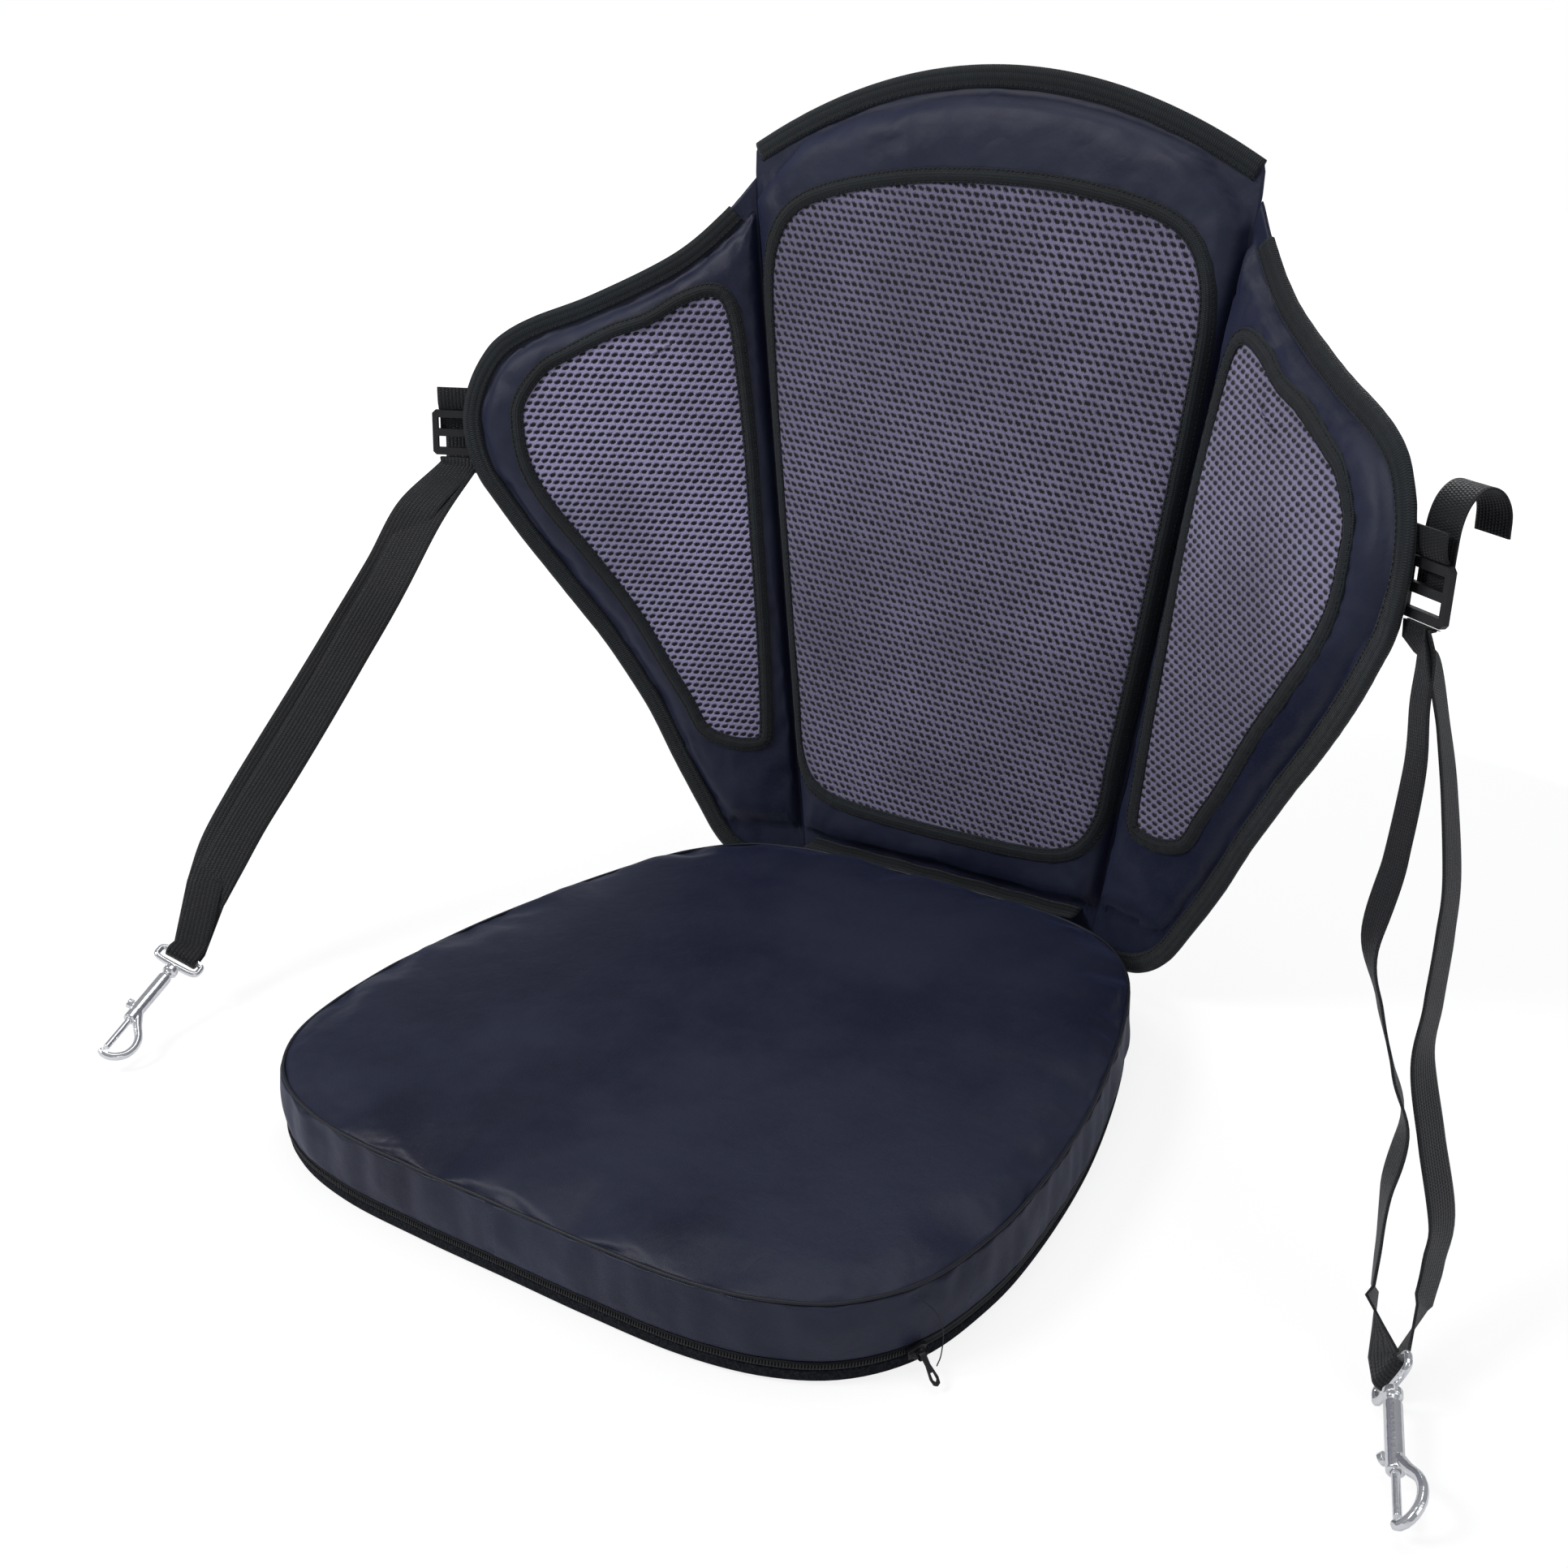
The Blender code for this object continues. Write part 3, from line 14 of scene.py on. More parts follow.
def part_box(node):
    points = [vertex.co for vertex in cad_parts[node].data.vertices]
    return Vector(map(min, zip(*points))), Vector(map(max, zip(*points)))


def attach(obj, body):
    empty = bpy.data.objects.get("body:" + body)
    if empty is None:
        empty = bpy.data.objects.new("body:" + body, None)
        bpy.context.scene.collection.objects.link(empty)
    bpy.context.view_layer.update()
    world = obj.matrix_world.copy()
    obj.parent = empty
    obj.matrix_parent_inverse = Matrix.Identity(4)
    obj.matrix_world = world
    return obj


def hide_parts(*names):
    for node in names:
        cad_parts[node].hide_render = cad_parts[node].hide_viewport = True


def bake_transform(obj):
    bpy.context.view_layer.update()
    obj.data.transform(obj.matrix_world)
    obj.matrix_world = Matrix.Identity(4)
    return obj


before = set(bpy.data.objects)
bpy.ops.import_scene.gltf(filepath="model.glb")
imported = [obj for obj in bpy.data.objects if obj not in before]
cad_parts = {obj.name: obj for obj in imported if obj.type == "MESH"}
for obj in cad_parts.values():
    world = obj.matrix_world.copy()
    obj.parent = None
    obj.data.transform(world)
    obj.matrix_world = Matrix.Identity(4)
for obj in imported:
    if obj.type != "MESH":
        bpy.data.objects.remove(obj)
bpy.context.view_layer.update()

bl_info = {
    "name": "Kayak seat looks",
    "version": (1, 0, 0),
    "blender": (4, 5, 0),
    "location": "3D View > Sidebar > Kayak Seat",
    "description": "Covers, mesh, webbing, zip and hooks of a padded kayak seat",
    "category": "Object",
}

# Cushion
SEAT_WIDTH, SEAT_DEPTH, SEAT_THICK = 0.400, 0.404, 0.045
SEAT_CROWN = 0.006
SIDE_BULGE = 0.0028
RIM_TOP = 0.0080
ZIP_LOW, ZIP_HIGH = 0.0083, 0.0123
ZIP_START = math.radians(160.0)
ZIP_END = math.radians(-38.8)
SEAT_SHAPE = [(0, -1.0), (0.25, -1.0), (0.50, -0.990), (0.70, -0.945), (0.85, -0.855),
              (0.95, -0.705), (0.993, -0.50), (1.0, -0.29), (0.975, 0.01), (0.92, 0.30),
              (0.845, 0.57), (0.755, 0.775), (0.62, 0.92), (0.44, 0.985), (0.22, 1.0)]

# Back
BACK_LEAN = math.radians(3.1)
BACK_Y = SEAT_DEPTH / 2 + 0.0190
BACK_TAIL = 0.034
BOTTOM_HALF, TOP_HALF = 0.1040, 0.1560
NOTCH_S, ARC_END_S, ARC_TOP_S = 0.407, 0.425, 0.4695
PAD_FRONT = {"centre": 0.0120, "left": 0.0090, "right": 0.0090}
PAD_REAR = 0.0080
PAD_ROUND = 0.014
SHEET = 0.0010
GAP = 0.0003
SEAM_GAP = 0.0002
SEAM_LINE_OUT = -0.0002
SEAM_LINE_RADIUS = 0.0009
SEAM_LINE_DROP = 0.0026    # below the seat's top edge
LOOSE_THREAD_RADIUS = 0.00028
# floor: half size, distance under the part, distances over which it turns plain white
FLOOR_HALF = 6.0
FLOOR_UNDER = 0.0004
FLOOR_FADE = (0.45, 0.9)
FLOOR_GLOW_SHARE = 0.72
FLOOR_GLOW = 1.18
SKY_STRENGTH = 0.24
WING_SPAN = 0.195
TURN_LOW = math.radians(22.0)
# each wing's forward fold at its top, and the height over which it grows from the low one
LEFT_FOLD = (math.radians(40.5), 0.25)
RIGHT_FOLD = (math.radians(30.0), 0.25)
TRIM_HALF = 0.0043
BIND_IN, BIND_OUT, BIND_THICK = 0.0105, 0.0014, 0.0008
# window outlines: share of the half width at that height, height along the back
CENTRE_WINDOW = [(0, 0.0265), (0.46, 0.0275), (0.732, 0.031), (0.874, 0.041), (0.942, 0.062),
                 (0.939, 0.095), (0.946, 0.16), (0.947, 0.235), (0.943, 0.3), (0.931, 0.345),
                 (0.887, 0.372), (0.792, 0.391), (0.618, 0.4025), (0.319, 0.411), (0, 0.4135)]
# wing tables: cloth distance from the groove as a share of the span, height along the back
WING_EDGE = [(0.0, -0.032), (0.113, -0.0315), (0.220, -0.026), (0.302, -0.012), (0.366, 0.0125),
             (0.433, 0.041), (0.493, 0.070), (0.545, 0.090), (0.626, 0.1175), (0.702, 0.139),
             (0.787, 0.163), (0.865, 0.1855), (0.932, 0.207), (0.975, 0.222), (0.998, 0.2395),
             (1.0, 0.259), (0.966, 0.280), (0.906, 0.2985), (0.841, 0.310), (0.737, 0.3205),
             (0.542, 0.335), (0.278, 0.360), (0.113, 0.3845), (0.0, 0.407)]
WING_WINDOW = [(0.105, 0.0620), (0.154, 0.0580), (0.231, 0.0585), (0.310, 0.0655), (0.356, 0.084),
               (0.412, 0.104), (0.510, 0.141), (0.633, 0.176), (0.750, 0.207), (0.811, 0.232),
               (0.822, 0.2575), (0.802, 0.2735), (0.723, 0.292), (0.642, 0.301), (0.491, 0.3155),
               (0.374, 0.3235), (0.267, 0.3355), (0.174, 0.3420), (0.121, 0.3385), (0.096, 0.325),
               (0.086, 0.297), (0.079, 0.247), (0.081, 0.200), (0.081, 0.165), (0.084, 0.120),
               (0.092, 0.078)]
UP_S = np.array([0.0, math.sin(BACK_LEAN), math.cos(BACK_LEAN)])
FRONT = np.array([0.0, -math.cos(BACK_LEAN), math.sin(BACK_LEAN)])
BACK_ORIGIN = np.array([0.0, BACK_Y, SEAT_THICK])

# Camera, fitted to the photograph
CAM_PLACE = (0.4798, -0.6941, 0.5255)
CAM_RIGHT = (0.8356, 0.5494, 0.0)
CAM_UP = (-0.2098, 0.3190, 0.9242)
CAM_BACK = (0.5078, -0.7723, 0.3818)
CAM_LENS = 41.156


# Settings that a user would change
class KayakSeatCloth(bpy.types.PropertyGroup):
    """Colours and finish of the cloth."""
    nylon: bpy.props.FloatVectorProperty(
        name="Nylon", description="Colour of the coated nylon", subtype="COLOR", size=3,
        default=(0.0056, 0.0074, 0.0240), min=0, max=1)
    # Pale nylon for the paler patches at random; at 1.9 times its colour it is also the painted highlight
    # toward the seat's front.
    nylon_pale: bpy.props.FloatVectorProperty(
        name="Worn nylon", description="Paler, rubbed nylon", subtype="COLOR", size=3,
        default=(0.0165, 0.0195, 0.0400), min=0, max=1)
    mesh: bpy.props.FloatVectorProperty(
        name="Mesh", description="Colour of the spacer mesh's yarn", subtype="COLOR", size=3,
        default=(0.450, 0.415, 0.660), min=0, max=1)
    tape: bpy.props.FloatVectorProperty(
        name="Tape", description="Colour of binding and trim tape", subtype="COLOR", size=3,
        default=(0.0052, 0.0082, 0.0108), min=0, max=1)
    web: bpy.props.FloatVectorProperty(
        name="Webbing", description="Colour of the webbing", subtype="COLOR", size=3,
        default=(0.0038, 0.0045, 0.0062), min=0, max=1)
    crease: bpy.props.FloatProperty(
        name="Crease depth", description="Depth of the soft creases in the covers",
        subtype="DISTANCE", default=0.0011, min=0, max=0.004)


class KayakSeatFittings(bpy.types.PropertyGroup):
    """Sizes of the repeated small pieces."""
    stitch: bpy.props.FloatProperty(
        name="Stitch", description="Length of one stitch", subtype="DISTANCE",
        default=0.0030, min=0.001, max=0.01)
    thread: bpy.props.FloatProperty(
        name="Thread", description="Thickness of the sewing thread", subtype="DISTANCE",
        default=0.00055, min=0.0002, max=0.002)
    tooth_pitch: bpy.props.FloatProperty(
        name="Tooth pitch", description="Distance from one zip tooth to the next",
        subtype="DISTANCE", default=0.0014, min=0.0008, max=0.004)
    hole_pitch: bpy.props.FloatProperty(
        name="Hole pitch", description="Distance between holes of the spacer mesh along a row",
        subtype="DISTANCE", default=0.0050, min=0.002, max=0.01)
    metal: bpy.props.FloatVectorProperty(
        name="Plating", description="Colour of the plated hooks", subtype="COLOR", size=3,
        default=(0.93, 0.94, 0.96), min=0, max=1)


# Plane curves
def smooth(points, count, closed=False):
    """Evenly spaced points of a Catmull-Rom curve through the given points."""
    p = np.array(points, float)
    if closed:
        q = np.vstack([p[-1], p, p[0], p[1]])
    else:
        q = np.vstack([2 * p[0] - p[1], p, 2 * p[-1] - p[-2]])
    out = []
    for i in range(1, len(q) - 2):
        a, b, c, d = q[i - 1], q[i], q[i + 1], q[i + 2]
        for t in np.linspace(0, 1, 16, endpoint=False):
            out.append(0.5 * (2 * b + (c - a) * t + (2 * a - 5 * b + 4 * c - d) * t * t
                              + (3 * b - a - 3 * c + d) * t ** 3))
    out.append(q[-2])
    return even(np.array(out), count, closed)


def even(poly, count, closed=False):
    """The polyline sampled at even spacing; a closed one leaves out its end."""
    seg = np.linalg.norm(np.diff(poly[:, :3], axis=0), axis=1)
    run = np.concatenate([[0], np.cumsum(seg)])
    at = np.linspace(0, run[-1], count + 1)[:-1] if closed else np.linspace(0, run[-1], count)
    return np.stack([np.interp(at, run, poly[:, k]) for k in range(poly.shape[1])], 1)


def unit(v):
    return v / np.maximum(np.linalg.norm(v, axis=-1, keepdims=True), 1e-12)


def loop_normals(loop):
    """Outward unit normals of a closed anticlockwise loop."""
    d = np.roll(loop, -1, 0) - np.roll(loop, 1, 0)
    return unit(np.stack([d[:, 1], -d[:, 0]], 1))


def anticlockwise(loop):
    x, y = loop[:, 0], loop[:, 1]
    area = np.sum(x * np.roll(y, -1) - np.roll(x, -1) * y)
    return loop if area > 0 else loop[::-1]


def inset(loop, amount):
    return loop - loop_normals(loop) * amount


def cast(loop, centre, angles):
    """Distance from the centre to the closed loop along each angle."""
    a = loop - centre
    b = np.roll(a, -1, 0)
    out = []
    for ang in angles:
        d = np.array([math.cos(ang), math.sin(ang)])
        ca = a[:, 0] * d[1] - a[:, 1] * d[0]
        cb = b[:, 0] * d[1] - b[:, 1] * d[0]
        hit = (ca * cb <= 0) & (np.abs(ca - cb) > 1e-12)
        t = ca[hit] / (ca[hit] - cb[hit])
        out.append(((a[hit] + t[:, None] * (b[hit] - a[hit])) @ d).max())
    return np.array(out)


def edge_distance(loop, pts):
    """Distance of each point to the closed loop, positive inside it."""
    a, b = loop, np.roll(loop, -1, 0)
    d = b - a
    t = np.clip(((pts[:, None] - a) * d).sum(-1) / np.maximum((d * d).sum(-1), 1e-12), 0, 1)
    far = np.linalg.norm(pts[:, None] - a - t[..., None] * d, axis=-1).min(1)
    x, y = pts[:, :1], pts[:, 1:2]
    cross = (a[:, 1] > y) != (b[:, 1] > y)
    xs = (b[:, 0] - a[:, 0]) * (y - a[:, 1]) / np.where(cross, b[:, 1] - a[:, 1], 1) + a[:, 0]
    inside = (np.sum(cross & (x < xs), axis=1) % 2) == 1
    return np.where(inside, far, -far)


def wave_noise(points, scale, seed=0.0):
    """Smooth noise from -1 to 1 at each point, one bump about every 1/scale metres."""
    lift = Vector((seed, 1.7 * seed, -seed))
    return np.array([noise.noise(Vector(p) * scale + lift) for p in points])


# Meshes
def make_mesh(name, verts, faces, finish, uv=None, smooth_faces=True):
    mesh = bpy.data.meshes.new(name)
    mesh.from_pydata([tuple(map(float, v)) for v in verts], [], faces)
    if uv is not None:
        layer = mesh.uv_layers.new(name="cloth")
        at = np.empty(len(mesh.loops), np.int32)
        mesh.loops.foreach_get("vertex_index", at)
        layer.data.foreach_set("uv", np.asarray(uv, np.float32)[at].ravel())
    mesh.update()
    if smooth_faces:
        mesh.shade_smooth()
    mesh.materials.append(finish)
    ob = bpy.data.objects.new(name, mesh)
    bpy.context.scene.collection.objects.link(ob)
    return ob


def grid(rows, cols, round_cols=True, flip=False, start=0):
    """Quads between rows of equal length."""
    faces = []
    for k in range(rows - 1):
        for i in range(cols if round_cols else cols - 1):
            j = (i + 1) % cols
            a, b = start + k * cols, start + (k + 1) * cols
            quad = (a + i, a + j, b + j, b + i)
            faces.append(quad[::-1] if flip else quad)
    return faces


def fill_ring(ring, first, start, flip=False):
    """Even quads inside a ring of 4k points: the inner points and the faces, with no pole.

    first is the index of the ring's first vertex and start that of the first new one.
    """
    k = len(ring) // 4
    u = np.linspace(0, 1, k + 1)[1:-1]
    low, high = ring[1:k], ring[3 * k - 1:2 * k:-1]
    right, left = ring[k + 1:2 * k], ring[:3 * k:-1]
    a, b, c, d = ring[0], ring[k], ring[2 * k], ring[3 * k]
    uu, vv = u[None, :, None], u[:, None, None]
    pts = (low[None] * (1 - vv) + high[None] * vv + left[:, None] * (1 - uu) + right[:, None] * uu
           - (a * (1 - uu) * (1 - vv) + b * uu * (1 - vv) + c * uu * vv + d * (1 - uu) * vv))

    def at(i, j):
        if j == 0:
            return first + i
        if i == k:
            return first + k + j
        if j == k:
            return first + 3 * k - i
        if i == 0:
            return first + (4 * k - j) % (4 * k)
        return start + (j - 1) * (k - 1) + i - 1
    faces = [(at(i, j), at(i + 1, j), at(i + 1, j + 1), at(i, j + 1)) for j in range(k) for i in range(k)]
    if flip:
        faces = [f[::-1] for f in faces]
    return pts.reshape(-1, ring.shape[1]), faces


def outward(ob):
    """Faces of a closed shell turned outward."""
    bm = bmesh.new()
    bm.from_mesh(ob.data)
    bmesh.ops.recalc_face_normals(bm, faces=bm.faces)
    if bm.calc_volume(signed=True) < 0:
        bmesh.ops.reverse_faces(bm, faces=bm.faces)
    bm.to_mesh(ob.data)
    bm.free()
    return ob


def bake(ob):
    """Replaces an object's mesh by its modified one and removes the modifiers."""
    depsgraph = bpy.context.evaluated_depsgraph_get()
    done = bpy.data.meshes.new_from_object(ob.evaluated_get(depsgraph), depsgraph=depsgraph)
    old = ob.data
    ob.modifiers.clear()
    ob.data = done
    bpy.data.meshes.remove(old)
    done.name = ob.name
    return ob


def thicken(ob, amount, offset=-1.0):
    mod = ob.modifiers.new("thickness", "SOLIDIFY")
    mod.thickness = amount
    mod.offset = offset
    return bake(ob)


def settle(ob, held, pressure, spare, cap, frames=18):
    """Lets a cover puff and crease as cloth: held where it is sewn, with a little spare cloth."""
    group = ob.vertex_groups.new(name="sewn")
    for weight in sorted(set(np.round(held, 2))):
        if weight > 0:
            group.add([int(i) for i in np.flatnonzero(np.round(held, 2) == weight)], float(weight), "ADD")
    before = np.array([v.co for v in ob.data.vertices])
    mod = ob.modifiers.new("cloth", "CLOTH")
    cloth = mod.settings
    cloth.quality = 6
    cloth.mass = 0.02
    cloth.tension_stiffness = 12
    cloth.compression_stiffness = 12
    cloth.shear_stiffness = 4
    cloth.bending_stiffness = 0.15
    cloth.vertex_group_mass = "sewn"
    cloth.shrink_min = -spare
    cloth.use_pressure = True
    cloth.uniform_pressure_force = pressure
    cloth.effector_weights.gravity = 0
    mod.point_cache.frame_start = 1
    mod.point_cache.frame_end = frames
    scene = bpy.context.scene
    for f in range(1, frames + 1):
        scene.frame_set(f)
    depsgraph = bpy.context.evaluated_depsgraph_get()
    shaped = ob.evaluated_get(depsgraph).data
    after = np.array([v.co for v in shaped.vertices])
    move = after - before
    length = np.linalg.norm(move, axis=1, keepdims=True)
    move *= np.minimum(1.0, cap / np.maximum(length, 1e-9))
    ob.modifiers.remove(mod)
    ob.vertex_groups.remove(group)
    ob.data.vertices.foreach_set("co", (before + move).astype(np.float32).ravel())
    ob.data.update()
    scene.frame_set(1)
    print("settled", ob.name, "furthest", round(float(length.max()) * 1000, 2), "mm")
    return ob


# Node trees
def node_group(name, inputs, outputs):
    """A shader group with its interface; inputs are (name, kind, default)."""
    tree = bpy.data.node_groups.new(name, "ShaderNodeTree")
    for label, kind, value in inputs:
        socket = tree.interface.new_socket(label, in_out="INPUT", socket_type=kind)
        if value is not None:
            socket.default_value = value
    for label, kind in outputs:
        tree.interface.new_socket(label, in_out="OUTPUT", socket_type=kind)
    return tree, tree.nodes.new("NodeGroupInput"), tree.nodes.new("NodeGroupOutput")


def math_node(tree, kind, a, b=None, c=None, clamp=False):
    node = tree.nodes.new("ShaderNodeMath")
    node.operation = kind
    node.use_clamp = clamp
    for k, value in enumerate((a, b, c)):
        if value is None:
            continue
        if isinstance(value, (int, float)):
            node.inputs[k].default_value = value
        else:
            tree.links.new(value, node.inputs[k])
    return node.outputs[0]


def noise_node(tree, vector, scale, detail=3.0, rough=0.55):
    node = tree.nodes.new("ShaderNodeTexNoise")
    tree.links.new(vector, node.inputs["Vector"])
    for label, value in (("Scale", scale), ("Detail", detail), ("Roughness", rough)):
        if isinstance(value, (int, float)):
            node.inputs[label].default_value = value
        else:
            tree.links.new(value, node.inputs[label])
    return node.outputs["Fac"]


def mix_colour(tree, share, a, b, mode="MIX"):
    node = tree.nodes.new("ShaderNodeMix")
    node.data_type = "RGBA"
    node.blend_type = mode
    ends = [s for s in node.inputs if s.type == "RGBA"]
    for socket, value in zip([node.inputs[0]] + ends, (share, a, b)):
        if isinstance(value, (int, float)):
            socket.default_value = value
        elif isinstance(value, tuple):
            socket.default_value = (*value[:3], 1.0)
        else:
            tree.links.new(value, socket)
    return [s for s in node.outputs if s.type == "RGBA"][0]


def ramp(tree, value, low, high):
    """Value stretched so that low gives 0 and high gives 1, smoothly."""
    node = tree.nodes.new("ShaderNodeMapRange")
    node.interpolation_type = "SMOOTHSTEP"
    tree.links.new(value, node.inputs[0])
    node.inputs[1].default_value = low
    node.inputs[2].default_value = high
    return node.outputs[0]


def split(tree, vector):
    node = tree.nodes.new("ShaderNodeSeparateXYZ")
    tree.links.new(vector, node.inputs[0])
    return node.outputs


def weave_group():
    """Plain weave: over and under threads in two directions, from a position in metres."""
    tree, source, sink = node_group(
        "Plain weave", [("Position", "NodeSocketVector", None), ("Pitch", "NodeSocketFloat", 0.0006)],
        [("Height", "NodeSocketFloat")])
    turn = math_node(tree, "DIVIDE", 2 * math.pi, source.outputs["Pitch"])
    x, y, _ = split(tree, source.outputs["Position"])
    wave_x = math_node(tree, "SINE", math_node(tree, "MULTIPLY", x, turn))
    wave_y = math_node(tree, "SINE", math_node(tree, "MULTIPLY", y, turn))
    both = math_node(tree, "MULTIPLY", wave_x, wave_y)
    tree.links.new(math_node(tree, "MULTIPLY_ADD", both, 0.5, 0.5), sink.inputs["Height"])
    return tree


def rib_group():
    """Ribs of tape and webbing: fine cords across the length, broken into stitches of yarn."""
    tree, source, sink = node_group(
        "Ribs", [("Position", "NodeSocketVector", None), ("Rib", "NodeSocketFloat", 0.0013),
                 ("Cord", "NodeSocketFloat", 0.0020)],
        [("Height", "NodeSocketFloat"), ("Valley", "NodeSocketFloat")])
    x, y, _ = split(tree, source.outputs["Position"])
    cord = math_node(tree, "DIVIDE", y, source.outputs["Cord"])
    column = math_node(tree, "FLOOR", cord)
    shift = math_node(tree, "MULTIPLY", math_node(tree, "MODULO", column, 2.0), 0.5)
    along = math_node(tree, "ADD", math_node(tree, "DIVIDE", x, source.outputs["Rib"]), shift)
    rib = math_node(tree, "SINE", math_node(tree, "MULTIPLY", along, 2 * math.pi))
    across = math_node(tree, "SINE", math_node(tree, "MULTIPLY", math_node(tree, "FRACT", cord), math.pi))
    lift = math_node(tree, "MULTIPLY_ADD", rib, 0.25, math_node(tree, "MULTIPLY_ADD", across, 0.5, 0.25))
    tree.links.new(lift, sink.inputs["Height"])
    tree.links.new(math_node(tree, "SUBTRACT", 1.0, ramp(tree, lift, 0.15, 0.75)), sink.inputs["Valley"])
    return tree


def hole_group():
    """Knitted spacer mesh: slanting slots in staggered rows, and the yarn between them."""
    tree, source, sink = node_group(
        "Mesh holes", [("Position", "NodeSocketVector", None), ("Pitch", "NodeSocketFloat", 0.0044),
                       ("Slant", "NodeSocketFloat", 0.30), ("Open", "NodeSocketFloat", 1.0)],
        [("Hole", "NodeSocketFloat"), ("Height", "NodeSocketFloat"), ("Yarn", "NodeSocketFloat")])
    wander = noise_node(tree, source.outputs["Position"], 240.0, 2.0)
    x, y, _ = split(tree, source.outputs["Position"])
    drift = math_node(tree, "MULTIPLY_ADD", wander, 0.0016, -0.0008)
    row_pitch = math_node(tree, "MULTIPLY", source.outputs["Pitch"], 0.88)
    v = math_node(tree, "DIVIDE", math_node(tree, "ADD", y, drift), row_pitch)
    row = math_node(tree, "FLOOR", v)
    fv = math_node(tree, "SUBTRACT", math_node(tree, "FRACT", v), 0.5)
    stagger = math_node(tree, "MULTIPLY", math_node(tree, "MODULO", row, 2.0), 0.5)
    u = math_node(tree, "ADD", math_node(tree, "DIVIDE", math_node(tree, "ADD", x, drift),
                                         source.outputs["Pitch"]), stagger)
    fu = math_node(tree, "SUBTRACT", math_node(tree, "FRACT", u), 0.5)
    lean = math_node(tree, "MULTIPLY", fu, source.outputs["Slant"])
    side = math_node(tree, "SUBTRACT", fv, lean)
    reach_u = math_node(tree, "DIVIDE", fu, 0.38)
    reach_v = math_node(tree, "DIVIDE", side, 0.26)
    far = math_node(tree, "ADD", math_node(tree, "POWER", math_node(tree, "ABSOLUTE", reach_u), 2.2),
                    math_node(tree, "POWER", math_node(tree, "ABSOLUTE", reach_v), 2.0))
    far = math_node(tree, "DIVIDE", far, source.outputs["Open"])
    tree.links.new(math_node(tree, "SUBTRACT", 1.0, ramp(tree, far, 0.75, 1.35)), sink.inputs["Hole"])
    tree.links.new(ramp(tree, far, 0.2, 2.6), sink.inputs["Height"])
    thread = math_node(tree, "SINE", math_node(
        tree, "MULTIPLY", math_node(tree, "ADD", x, math_node(tree, "MULTIPLY", y, 0.6)), 5200.0))
    tree.links.new(math_node(tree, "MULTIPLY_ADD", thread, 0.5, 0.5), sink.inputs["Yarn"])
    return tree


def crease_group():
    """Soft cloth creases and a slow change of tone, from a position in metres."""
    tree, source, sink = node_group(
        "Creases", [("Position", "NodeSocketVector", None), ("Scale", "NodeSocketFloat", 24.0)],
        [("Height", "NodeSocketFloat"), ("Tone", "NodeSocketFloat")])
    soft = noise_node(tree, source.outputs["Position"], source.outputs["Scale"], 4.0, 0.5)
    ridge = math_node(tree, "ABSOLUTE", math_node(tree, "SUBTRACT", soft, 0.5))
    tree.links.new(math_node(tree, "MULTIPLY", ridge, 2.0), sink.inputs["Height"])
    slow = noise_node(tree, source.outputs["Position"], 9.0, 5.0, 0.6)
    tree.links.new(ramp(tree, slow, 0.34, 0.68), sink.inputs["Tone"])
    return tree


GROUPS = {}


def place_group(tree, name, maker, **values):
    """An instance of a shared group, with plain values or links for its inputs."""
    if name not in GROUPS:
        GROUPS[name] = maker()
    node = tree.nodes.new("ShaderNodeGroup")
    node.node_tree = GROUPS[name]
    for label, value in values.items():
        if isinstance(value, (int, float)):
            node.inputs[label].default_value = value
        else:
            tree.links.new(value, node.inputs[label])
    return node.outputs


def new_finish(name):
    mat = bpy.data.materials.new(name)
    mat.use_nodes = True
    shader = mat.node_tree.nodes["Principled BSDF"]
    return mat, mat.node_tree, shader


def position(tree, kind="Object"):
    return tree.nodes.new("ShaderNodeTexCoord").outputs[kind]


def bump(tree, shader, height, depth, under=None):
    """Bump of the given depth in metres, over another bump if there is one."""
    node = tree.nodes.new("ShaderNodeBump")
    node.inputs["Strength"].default_value = 1.0
    node.inputs["Distance"].default_value = depth
    tree.links.new(height, node.inputs["Height"])
    if under is not None:
        tree.links.new(under, node.inputs["Normal"])
    tree.links.new(node.outputs[0], shader.inputs["Normal"])
    return node.outputs[0]


def cloth_settings():
    return bpy.context.scene.kayak_seat_cloth


def fitting_settings():
    return bpy.context.scene.kayak_seat_fittings


